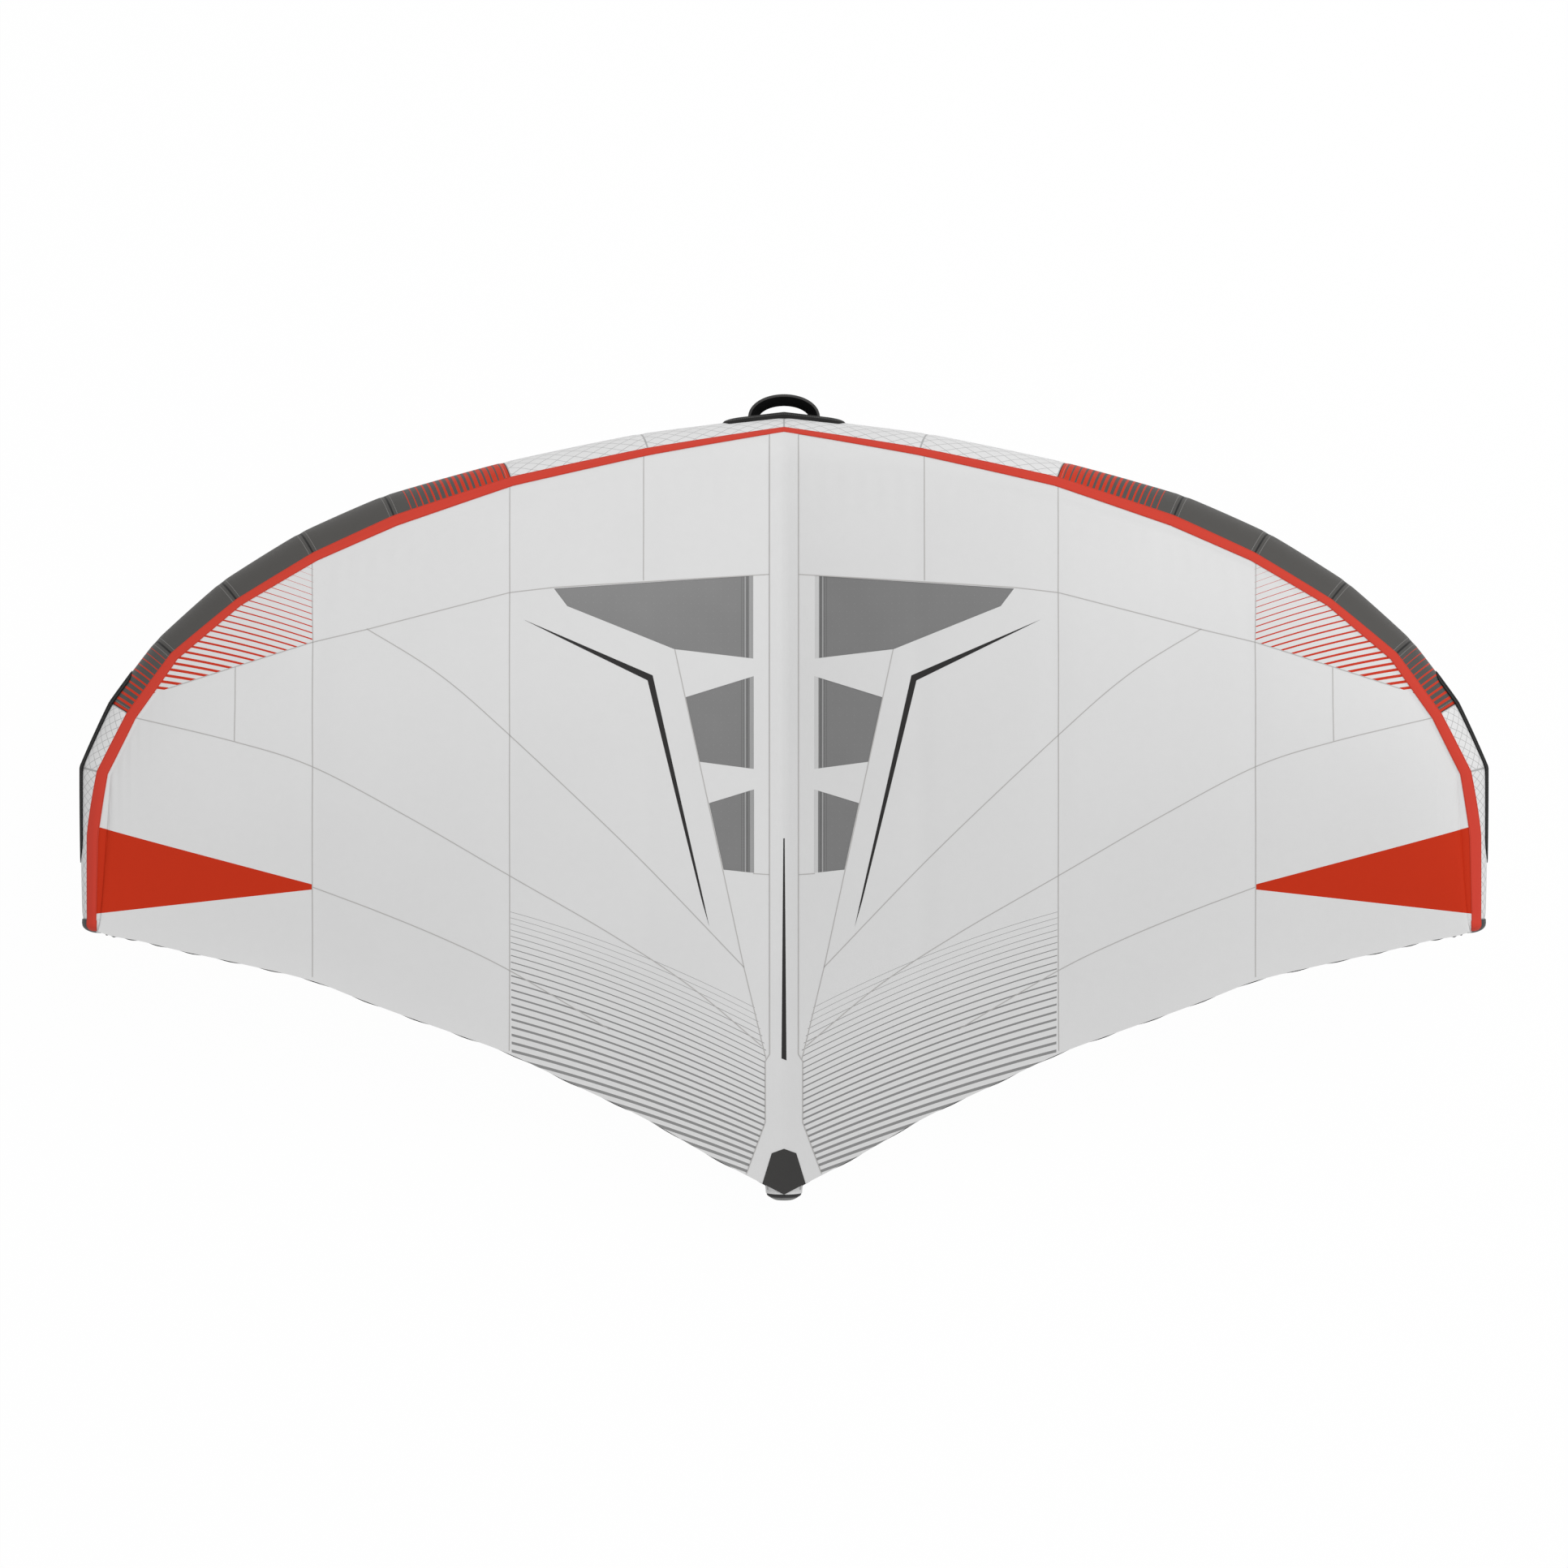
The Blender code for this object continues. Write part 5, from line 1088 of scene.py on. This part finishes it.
def makeBand():
    places = columnPlaces() + [10.0 + k for k in range(len(band["onCap"]))]
    sides = bothSides(places)
    rows = []
    for k in range(band["across"] + 1):
        share = k / band["across"]
        climbed = (band["high"] - band["low"]) * min(share * band["climb"], 1.0)
        lift = band["low"] + climbed + band["thickness"]
        row = []
        for side, at in sides:
            outer, inner = bandEdges(min(at, 9.0))
            inner += band["capSpread"] * min(max(at - 9.0, 0.0), 1.0)
            row.append(bandPoint(at, outer + (inner - outer) * share, lift, side))
        rows.append(row)
    run = [(seamRun(min(at, 9.0)) + band["capRun"] * max(at - 9.0, 0.0)) * side for side, at in sides]
    layers = {"Cloth": lambda i, j: (run[j], i / band["across"])}
    piece = newPiece("closingBand", gridMesh(rows, layers, flip=True), [bandCloth])
    giveThickness(piece, band["thickness"])
    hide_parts("closing_band")


makeBand()
print("closing band ready")

# Hem under the trailing edge
hem = dict(width=0.026, drop=0.0014, thickness=0.0010, out=0.0026, wave=0.13, start=0.11, end=8.5)


def makeHem(side):
    places = [at for at in columnPlaces() if hem["start"] <= at <= hem["end"]]
    rows = [[], [], []]
    for at in places:
        end, back = canopyPoint(at, 1.0, side, 0.0), canopyPoint(at, 0.97, side, 0.0)
        along = (end - back).normalized()
        peek = hem["out"] * max(math.sin(seamRun(at) / hem["wave"] * math.tau) * 0.7 + 0.3, 0.0)
        for row, reach in zip(rows, (-hem["width"], -hem["width"] / 2, peek)):
            row.append(end + along * reach - up * hem["drop"])
    layers = {"Cloth": lambda i, j: (seamRun(places[j]), i / 2)}
    label = sideNames[side]
    piece = newPiece(f"trailingHem_{label}", gridMesh(rows, layers, flip=side > 0), [hemWebbing])
    giveThickness(piece, hem["thickness"])
    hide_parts(f"trailing_hem_{label}")


for side in (-1, 1):
    makeHem(side)

tail = dict(lift=0.0022, thickness=0.0010,
            outline=((0.0, -1.2868), (0.031, -1.298), (0.0548, -1.376), (0.0548, -1.45),
                     (-0.0548, -1.45), (-0.0548, -1.376), (-0.031, -1.298)))
tailPatch = makePrint("tailPatch", tail["outline"], tail["lift"], tail["thickness"], patchCloth)
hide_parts("tail_patch")
print("hem and tail patch ready")

# Strut, a tapered tube that hangs under the centre strip
strut = dict(diameter=0.206, flats=24, sides=72, wall=0.0012, clear=0.0003, fromTube=0.0018, rows=96,
             shares=((0.0, 0.97), (0.2, 1.0), (0.55, 0.98), (0.75, 0.86), (0.88, 0.66), (1.0, 0.44)))


def strutLine(share):
    leave = tubePoint(0, canopyLeave[0], 0.0)
    end = canopyEnd(0.0)
    point = leave.lerp(end, share)
    return point + up * columnTable[0][3] * (end - leave).length * camberHeight(share)


def strutRadius(share):  # reaches the middles of the flats that the fittings sit on
    return alongTable(strut["shares"], share) * strut["diameter"] / 2 * math.cos(math.pi / strut["flats"])


def strutPoint(share, degrees, lift=0.0):
    radius = strutRadius(share)
    cos, sin = onCircle(degrees)
    centre = strutLine(share) - up * (strut["clear"] + radius)
    return centre + Vector((cos, 0.0, sin)) * (radius + lift)


def clearOfTube(point, margin):  # outside the nose tube by a margin
    side = Vector((abs(point.x), point.y, point.z))
    run = panelRun(0)
    along = max((side - seamCentre(0)).dot(run.normalized()), 0.0)
    centre = seamCentre(0) + run.normalized() * along
    return (side - centre).length > tubeRadius(min(along / run.length, 1.0)) + margin


def strutStart(degrees):  # share at which this line of the strut leaves the nose tube
    low, high = 0.0, 0.3
    for _ in range(24):
        middle = (low + high) / 2
        if clearOfTube(strutPoint(middle, degrees), strut["fromTube"]):
            high = middle
        else:
            low = middle
    return high


def makeStrut():
    angles = [360.0 * k / strut["sides"] for k in range(strut["sides"])]
    starts = [strutStart(a) for a in angles]
    rows = []
    for i in range(strut["rows"] + 1):
        way = (i / strut["rows"]) ** 1.1
        rows.append([strutPoint(start + (1 - start) * way, angle) for start, angle in zip(starts, angles)])
    around = math.pi * strut["diameter"]
    layers = {"Cloth": lambda i, j: (i / strut["rows"] * 1.75, j / strut["sides"] * around)}
    piece = newPiece("strutCasing", gridMesh(rows, layers, wrap=True, flip=True), [strutCloth])
    giveThickness(piece, strut["wall"])
    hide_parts("strut_casing")


makeStrut()


def strutShare(y):
    leave, end = tubePoint(0, canopyLeave[0]).y, canopyEnd(0.0).y
    return (leave - y) / (leave - end)


inflated = dict(gap=0.0022, front=0.286, back=0.93, draw=0.032, sides=40, middle=30,
                ends=(0.0, 0.02, 0.08, 0.18, 0.34, 0.6, 1.0))


def makeStrutBladder():  # the strut's own air bladder, rounded at both ends
    front, back = strutShare(inflated["front"]), inflated["back"]
    shares = [front + inflated["draw"] * part for part in inflated["ends"]]
    run = back - front - 2 * inflated["draw"]
    shares += [front + inflated["draw"] + run * k / inflated["middle"] for k in range(1, inflated["middle"])]
    shares += [back - inflated["draw"] * part for part in reversed(inflated["ends"])]
    rows = []
    for share in shares:
        part = min(min(share - front, back - share) / inflated["draw"], 1.0)
        full = strutRadius(share) - strut["wall"] - inflated["gap"]
        radius = full * (0.12 + 0.88 * math.sqrt(max(1 - (1 - part) ** 2, 0.0)))
        rows.append([strutPoint(share, 360.0 * k / inflated["sides"], radius - strutRadius(share))
                     for k in range(inflated["sides"])])
    bm = gridMesh(rows, wrap=True, flip=True)
    closeEnds(bm, inflated["sides"])
    piece = newPiece("strutBladder", bm, [bladderFilm])
    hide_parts("strut_bladder")


makeStrutBladder()
strutSeam = dict(angles=(28.0, 152.0, 214.0, 326.0), width=0.010, lift=0.0003, thickness=0.0005, rows=90,
                 front=0.245, endShare=0.995)


def makeStrutSeam(number, degrees):  # tape over each long seam of the strut's casing
    start = strutShare(strutSeam["front"])
    rows = []
    for k in range(strutSeam["rows"] + 1):
        share = start + (strutSeam["endShare"] - start) * k / strutSeam["rows"]
        wide = math.degrees(strutSeam["width"] / 2 / strutRadius(share))
        rows.append([strutPoint(share, degrees + wide * part, strutSeam["lift"] + strutSeam["thickness"])
                     for part in (-1, 0, 1)])
    layers = {"Cloth": lambda i, j: (i * 0.018, j / 2)}
    piece = newPiece(f"strutTape_{number}", gridMesh(rows, layers, flip=True), [strutTape])
    giveThickness(piece, strutSeam["thickness"])


strutTape = ribbonMaterial("strutTape", (0.46, 0.46, 0.455), (0.62, 0.62, 0.61), rows=(0.18, 0.82))
for number, degrees in enumerate(strutSeam["angles"]):
    makeStrutSeam(number, degrees)


# Turned mouldings: a ring is extruded from step to step, then the piece is set in its place
def turnedPiece(name, sides, steps, material, centre, turn, closed=True):
    bpy.ops.object.select_all(action="DESELECT")
    fill = "NGON" if closed else "NOTHING"
    extrude = bpy.ops.mesh.extrude_region_move if closed else bpy.ops.mesh.extrude_edges_move
    bpy.ops.mesh.primitive_circle_add(vertices=sides, radius=steps[0][0], fill_type=fill,
                                      location=(0.0, 0.0, steps[0][1]))
    piece = bpy.context.object
    piece.name = name
    bpy.ops.object.transform_apply(location=True)
    bpy.ops.object.mode_set(mode="EDIT")
    bpy.ops.mesh.select_all(action="SELECT")
    for (r0, h0), (r1, h1) in zip(steps, steps[1:]):
        extrude(TRANSFORM_OT_translate={"value": (0.0, 0.0, h1 - h0)})
        bpy.ops.transform.resize(value=(r1 / r0, r1 / r0, 1.0), center_override=(0.0, 0.0, h1))
    bpy.ops.mesh.select_all(action="SELECT")
    bpy.ops.mesh.normals_make_consistent(inside=False)
    bpy.ops.object.mode_set(mode="OBJECT")
    piece.data.materials.append(material)
    piece.location, piece.rotation_euler = centre, turn
    bpy.ops.object.transform_apply(location=True, rotation=True, scale=True)
    bpy.ops.object.shade_smooth_by_angle(angle=math.radians(38))
    return piece


# Rounded end of the strut: a skirt inside the casing, a dark lip and a domed face with a flat middle
endCup = dict(
    sides=72, centre=(0.0, -1.404, 0.10877), wall=0.0022,
    lip=((0.0432, -0.0135), (0.0432, 0.0003), (0.0440, 0.0012), (0.0442, 0.0026), (0.0438, 0.0042),
         (0.0426, 0.0060), (0.0404, 0.0080), (0.0372, 0.0099), (0.0362, 0.0098)),
    face=((0.0371, 0.0084), (0.0360, 0.0107), (0.0346, 0.0119), (0.0328, 0.0130), (0.0304, 0.0143),
          (0.0282, 0.0154), (0.0256, 0.0165), (0.0228, 0.0174), (0.0214, 0.0178), (0.0205, 0.01800),
          (0.0193, 0.01765), (0.0080, 0.01765), (0.0072, 0.0172), (0.0020, 0.0170)),
)


def makeEndCup():
    centre, turn = endCup["centre"], (math.pi / 2, 0.0, 0.0)
    lip = turnedPiece("strutEndLip", endCup["sides"], endCup["lip"], rubber, centre, turn, closed=False)
    wall = lip.modifiers.new("wall", "SOLIDIFY")
    wall.thickness, wall.offset = endCup["wall"], -1.0
    applyModifiers(lip)
    face = turnedPiece("strutEndFace", endCup["sides"], endCup["face"], endFace, centre, turn)
    for piece in (lip, face):
        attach(piece, "wing")
        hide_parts("strut_end_cap")


endFace = plainMould("greyRubber", (0.17, 0.17, 0.168), 0.62, strength=0.3, rubbed=0.15)
makeEndCup()
print("strut ready")

# Rubbing strips on the outsides of the tips
scuff = dict(middle=0.0, half=37.0, start=6.5, halfway=7.5, end=8.63, lift=0.0003, thickness=0.0016,
             along=72, across=14, round=0.16, tip=0.06)


def roundedShare(part, reach):  # how wide a strip with rounded ends is, from -1 to 1 along it
    past = max((abs(part) - (1 - reach)) / reach, 0.0)
    return math.sqrt(max(1 - past**2, 0.0))


def makeScuff(side):
    rows = []
    for i in range(scuff["along"] + 1):
        part = i / scuff["along"]
        at = scuff["start"] + (scuff["end"] - scuff["start"]) * part
        half = scuff["half"] * max(roundedShare(part * 2 - 1, scuff["round"]), scuff["tip"])
        rows.append([tubePoint(at, scuff["middle"] + half * (2 * j / scuff["across"] - 1),
                               swell(at) + scuff["lift"] + scuff["thickness"], side)
                     for j in range(scuff["across"] + 1)])
    run = seamRun(scuff["end"]) - seamRun(scuff["start"])
    layers = {"Cloth": lambda i, j: (i / scuff["along"] * run, j / scuff["across"])}
    label = sideNames[side]
    piece = newPiece(f"scuffStrip_{label}", gridMesh(rows, layers, flip=side > 0), [scuffCloth])
    giveThickness(piece, scuff["thickness"])
    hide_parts(f"scuff_strip_{label}")


scuffCloth = ribbonMaterial("scuffCloth", (0.009, 0.009, 0.009), (0.05, 0.05, 0.05), 0.7,
                            rows=(0.07, 0.93), pitch=0.0036, threads=420.0, gloss=0.08, sheen=0.0)
for side in (-1, 1):
    makeScuff(side)

# Padded base of the nose handle
base = dict(thickness=0.0116, lift=0.0004, top=0.0122, rim=0.0016, thinnest=0.0012, endSeam=0.43,
            middle=-8.0, half=28.0, round=0.13, tip=0.1, along=64, across=20, run=0.31,
            shares=((0.0, 1.0), (0.64, 1.0), (0.88, 0.82), (1.0, 0.62)))


def makeNoseBase():
    rings = []
    for i in range(base["along"] + 1):
        part = 2 * i / base["along"] - 1
        at, side = abs(part) * base["endSeam"], 1 if part >= 0 else -1
        half = base["half"] * max(roundedShare(part, base["round"]), base["tip"])
        full = base["thickness"] * alongTable(base["shares"], abs(part))
        low, high = [], []
        for j in range(base["across"] + 1):
            across = 2 * j / base["across"] - 1
            degrees = base["middle"] + half * across
            crown = (1 - abs(across) ** 5) ** 0.5 * (1 - abs(part) ** 14) ** 0.5
            quilt = 1 - 0.10 * math.exp(-(((abs(across) - 0.62) / 0.07) ** 2))
            height = max(base["rim"] + (full - base["rim"]) * crown * quilt, base["thinnest"])
            skin = swell(at) + base["lift"]
            low.append(tubePoint(at, degrees, skin, side))
            high.append(tubePoint(at, degrees, min(skin + height, base["top"]), side))
        rings.append(high + list(reversed(low)))
    across = base["across"]
    layers = {"Cloth": lambda i, j: (i / base["along"] * base["run"], min(j, across) / across)}
    bm = gridMesh(rings, layers, wrap=True)
    closeEnds(bm, len(rings[0]))
    piece = newPiece("noseBase", bm, [baseCloth], sharp=60)
    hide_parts("nose_handle_base")


baseCloth = ribbonMaterial("baseCloth", (0.014, 0.0135, 0.013), (0.06, 0.06, 0.058), 0.8,
                           rows=(0.08, 0.81, 0.92), pitch=0.005, threads=520.0, gloss=0.2)
makeNoseBase()

# Webbing handle that arches out of the base
arch = dict(seat=(0.0, 0.57075, 0.18384), half=0.0772, rise=0.0446, back=0.0098, width=0.044,
            thickness=0.0075, lean=30.0, steps=56, stepRun=0.0038, corner=0.0020)


def archSection(point, normal):
    cos, sin = onCircle(arch["lean"])
    outward, across = normal * cos - up * sin, normal * sin + up * cos
    half, thick, corner = arch["width"] / 2, arch["thickness"] / 2, arch["corner"]
    ring = []
    for out, wide in ((1, 1), (1, -1), (-1, -1), (-1, 1)):
        turns = (0, 45, 90) if (out > 0) == (wide < 0) else (90, 45, 0)
        for angle in turns:
            c, s = onCircle(angle)
            x = out * (thick - corner + corner * c)
            y = wide * (half - corner + corner * s)
            ring.append(Vector(arch["seat"]) + point + outward * x + across * y)
    return ring


def makeArch():
    rings = []
    for k in range(arch["steps"] + 1):
        cos, sin = onCircle(180.0 * k / arch["steps"])
        point = Vector((cos * arch["half"], sin * arch["rise"] - arch["back"], 0.0))
        normal = Vector((cos * arch["rise"], sin * arch["half"], 0.0)).normalized()
        rings.append(archSection(point, normal))
    sides = len(rings[0])
    layers = {"Cloth": lambda i, j: (i * arch["stepRun"], (j % 6) / 5)}
    bm = gridMesh(rings, layers, wrap=True)
    closeEnds(bm, sides)
    for number, face in enumerate(list(bm.faces)[: (len(rings) - 1) * sides]):
        face.material_index = 0 if number % sides in (2, 8) else 1  # the broad faces, painted darker as shade, then the edges, painted lighter as a lit rim
    piece = newPiece("handleStrap", bm, [strapWebbingWithShade, strapLitEdge], body=None, sharp=60)
    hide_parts("nose_handle")
    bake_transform(piece)


# painted shade and painted light: the black webbing of the broad faces is darkened further as shade on the
# inner face, and the lighter edges are a painted highlight on the rim
strapWebbingWithShade = plainCloth("strapWebbingWithShade", (0.005, 0.005, 0.005), 0.85, threads=320.0, ripstop=0.003,
                          strength=0.6, sheen=0.0, gloss=0.1)
strapLitEdge = plainCloth("strapLitEdge", (0.060, 0.059, 0.058), 0.8, threads=420.0, ripstop=0.0025,
                       strength=0.6, sheen=0.02, gloss=0.2)
makeArch()
print("scuff strips and nose handle ready")

# Padded sleeves of the two hand grips
sleeve = dict(
    length=0.150, diameter=0.033, bore=0.0118, edge=0.0008, sides=48, flutes=8, fluteDepth=0.022,
    grips=(("front", 0.0, 0.0), ("rear", -0.62, -0.04357)),
    shares=((-1.0, 0.84), (-0.985, 0.875), (-0.96, 0.895), (-0.925, 0.93), (-0.9, 0.885), (-0.88, 0.885),
            (-0.86, 0.945), (-0.75, 0.965), (-0.55, 0.985), (-0.3, 1.0), (-0.1, 1.0)),
)


def makeSleeve(label, y, z):
    full, half, bore, edge = sleeve["diameter"] / 2, sleeve["length"] / 2, sleeve["bore"], sleeve["edge"]
    outside = [(full * b, half * a) for a, b in sleeve["shares"]]
    outside += [(radius, -along) for radius, along in reversed(outside)]
    profile = [(bore, edge - half), (bore + edge, -half), *outside, (bore + edge, half), (bore, half - edge)]
    rows = []
    for radius, along in profile + [profile[0]]:
        row = []
        for k in range(sleeve["sides"]):
            degrees = 360.0 * k / sleeve["sides"]
            cos, sin = onCircle(degrees)
            flute = 1.0
            if radius > full * 0.94 and abs(along) < half * 0.72:
                flute -= sleeve["fluteDepth"] * max(onCircle(degrees * sleeve["flutes"])[0], 0.0)
            row.append(Vector((cos * radius * flute, y - along, z + sin * radius * flute)))
        rows.append(row)
    bm = gridMesh(rows, wrap=True)
    bmesh.ops.remove_doubles(bm, verts=bm.verts, dist=1e-6)
    bmesh.ops.recalc_face_normals(bm, faces=bm.faces)
    piece = newPiece(f"gripSleeve_{label}", bm, [foam], sharp=50)
    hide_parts(f"grip_sleeve_{label}")


for label, y, z in sleeve["grips"]:
    makeSleeve(label, y, z)

# Screws through the feet of the grips, one modelled and the rest copied
screw = dict(
    along=0.0195, deep=0.0025,
    feet=((0.11208, 0.09944), (-0.11185, 0.09048), (-0.50777, 0.05964), (-0.73184, 0.04474)),
    steps=((0.0018, -0.0006), (0.0046, -0.0006), (0.0048, 0.0002), (0.0048, 0.0010),
           (0.0042, 0.0021), (0.0030, 0.0026), (0.0022, 0.0026), (0.0020, 0.0010)),
)


def makeScrews():
    made = turnedPiece("gripScrew_0", 18, screw["steps"], alloy, (0.0, 0.0, 0.0), (0.0, 0.0, 0.0))
    number = 0
    for y, z in screw["feet"]:
        ahead, behind = (strutPoint(strutShare(y + d), 270.0) for d in (0.02, -0.02))
        run = (ahead - behind).normalized()
        out = Vector((0.0, run.z, -run.y))
        for part in (-1, 1):
            copied = made if number == 0 else made.copy()
            if number:
                copied.data = made.data.copy()
                copied.name = f"gripScrew_{number}"
                bpy.context.scene.collection.objects.link(copied)
            copied["spot"] = list(Vector((0.0, y, z)) + run * screw["along"] * part + out * screw["deep"])
            copied["out"] = list(out)
            number += 1
    for piece in [o for o in bpy.context.scene.objects if o.name.startswith("gripScrew_")]:
        turn = Vector(piece["out"]).to_track_quat("Z", "Y").to_matrix().to_4x4()
        turn.translation = Vector(piece["spot"])
        piece.data.transform(turn)
        del piece["out"], piece["spot"]
        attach(piece, "wing")


makeScrews()
print("grips ready")

# Zip under the strut, with its teeth
zipper = dict(width=0.020, thickness=0.0012, lift=0.0003, along=(0.0, -0.99941, 0.03445), rows=24,
              coil=0.0015, tooth=(0.0044, 0.0016, 0.0014), toothEdge=0.0003, pitch=0.0026, toothless=0.006)


def makeZip():
    low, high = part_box("zip_tape")
    along = Vector(zipper["along"])
    out = Vector((0.0, -along.z, along.y))
    length = high.y - low.y
    start = Vector((0.0, high.y, 0.0))
    start.z = strutPoint(strutShare(high.y - 0.001), 270.0).z
    start += out * (zipper["lift"] + zipper["thickness"])
    rows = []
    for k in range(zipper["rows"] + 1):
        point = start + along * length * k / zipper["rows"]
        rows.append([point + Vector((zipper["width"] * part / 2, 0.0, 0.0)) for part in (-1, -0.25, 0.25, 1)])
    layers = {"Cloth": lambda i, j: (i / zipper["rows"] * length, j / 3)}
    tape = newPiece("zipTape", gridMesh(rows, layers), [zipCloth])
    if tape.data.polygons[0].normal.z > 0:
        tape.data.flip_normals()
    giveThickness(tape, zipper["thickness"])
    bpy.ops.object.select_all(action="DESELECT")
    bpy.ops.mesh.primitive_cube_add(size=1.0)
    teeth = bpy.context.object
    teeth.name = "zipTeeth"
    teeth.scale = zipper["tooth"]
    bpy.ops.object.transform_apply(scale=True)
    edge = teeth.modifiers.new("edge", "BEVEL")
    edge.width, edge.segments = zipper["toothEdge"], 1
    repeat = teeth.modifiers.new("repeat", "ARRAY")
    repeat.use_relative_offset, repeat.use_constant_offset = False, True
    repeat.constant_offset_displace = (0.0, -zipper["pitch"], 0.0)
    repeat.count = int((length - 2 * zipper["toothless"]) / zipper["pitch"])
    applyModifiers(teeth)
    teeth.data.materials.append(moulding)
    teeth.location = start + along * zipper["toothless"] + out * (zipper["coil"] / 2 - 0.0001)
    teeth.rotation_euler = (-math.atan2(along.z, -along.y), 0.0, 0.0)
    bpy.ops.object.transform_apply(location=True, rotation=True)
    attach(teeth, "wing")
    for piece in (tape, teeth):
        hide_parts("zip_tape")


zipCloth = ribbonMaterial("zipCloth", (0.018, 0.018, 0.019), (0.07, 0.07, 0.07), 0.75, rows=(0.12, 0.88),
                          threads=700.0)
makeZip()

# Loop under the nose for a wrist leash
loop = dict(radius=0.015, width=0.025, thickness=0.003, clear=0.0003, climb=0.0021, steps=20,
            stepRun=0.0024, across=4)


def makeLoop():
    bottom = noseAxis - up * (wing["noseDiameter"] / 2 + loop["clear"])
    places = [(up * loop["climb"], Vector((1.0, 0.0, 0.0)))]
    for k in range(loop["steps"] + 1):
        cos, sin = onCircle(180.0 * k / loop["steps"])
        places.append((Vector(), Vector((cos, 0.0, -sin))))
    places.append((up * loop["climb"], Vector((-1.0, 0.0, 0.0))))
    rows = []
    for shift, direction in places:
        point = bottom + shift + direction * (loop["radius"] + loop["thickness"] / 2)
        rows.append([point + Vector((0.0, loop["width"] * (j / loop["across"] - 0.5), 0.0))
                     for j in range(loop["across"] + 1)])
    layers = {"Cloth": lambda i, j: (i * loop["stepRun"], j / loop["across"])}
    piece = newPiece("leashLoop", gridMesh(rows, layers, flip=True), [hemWebbing])
    giveThickness(piece, loop["thickness"])
    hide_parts("leash_loop")


makeLoop()
print("zip and leash loop ready")

# Lighter strips along the strut side of the windows: painted light standing in for the lit strut seen through
# the film, the left ones darker than the right
border = dict(inner=0.0008, width=0.0112, past=0.004, lift=-0.0006, thickness=0.0005)


def makeBorder(index, side):
    points = [p for p in windows[index] if abs(p[0] - windows[index][1][0]) < 0.001]
    x = points[0][0] - border["inner"] + border["width"] / 2
    high, low = max(p[1] for p in points) + border["past"], min(p[1] for p in points) - border["past"]
    label = f"{windowNames[index]}_{sideNames[side]}"
    piece = tapeOnCanopy(f"windowLitStrip_{label}", [(x * side, high), (x * side, low)], border["width"],
                         border["lift"], border["thickness"], paintedLightBorder[side])


# painted light: strips lighter than the film where the lit strut shows through it, with the left copy darker
# than the right
paintedLightBorder = {-1: ribbonMaterial("paintedLightBorder_left", (0.31, 0.31, 0.31), (0.45, 0.45, 0.45), 0.5),
               1: ribbonMaterial("paintedLightBorder_right", (0.58, 0.58, 0.58), (0.66, 0.66, 0.66), 0.5)}
for side in (-1, 1):
    for index in range(3):
        makeBorder(index, side)

# Holes for the valves, through the casings and into the bladders
valves = dict(radius=0.0163, above=0.008, below=0.0265,  # a place and a way out for each
              tube=((0.16618, 0.36168, 0.10875), (0.12625, -0.45645, -0.88075)),
              strut=((-0.05051, 0.268, 0.12289), (-0.49998, 0.00874, -0.86599)))


def cutForValve(place, outward, names):
    out = Vector(outward).normalized()
    middle = Vector(place) + out * (valves["above"] - valves["below"]) / 2
    bpy.ops.object.select_all(action="DESELECT")
    turn = out.to_track_quat("Z", "Y").to_euler()
    bpy.ops.mesh.primitive_cylinder_add(vertices=48, radius=valves["radius"], location=middle, rotation=turn,
                                        depth=valves["above"] + valves["below"])
    cutter = bpy.context.object
    for name in names:
        piece = bpy.data.objects[name]
        hole = piece.modifiers.new("hole", "BOOLEAN")
        hole.object, hole.operation, hole.solver = cutter, "DIFFERENCE", "EXACT"
        applyModifiers(piece)
    bpy.data.objects.remove(cutter)


cutForValve(*valves["tube"], ("casing_light_inner_right", "innerTube"))
cutForValve(*valves["strut"], ("strutCasing", "strutBladder"))
print("valve holes ready")

# Better finishes on the source's own mouldings
finishes = dict(valve_body=moulding, valve_cap=moulding, valve_flap=rubber, grip_platform=moulding,
                grip_stand=alloy, zip_slider=alloy)
for name, node in cadNodes.items():
    for start, material in finishes.items():
        if name.startswith(start):
            for place in node.material_slots:
                place.material = material
print("finishes ready")
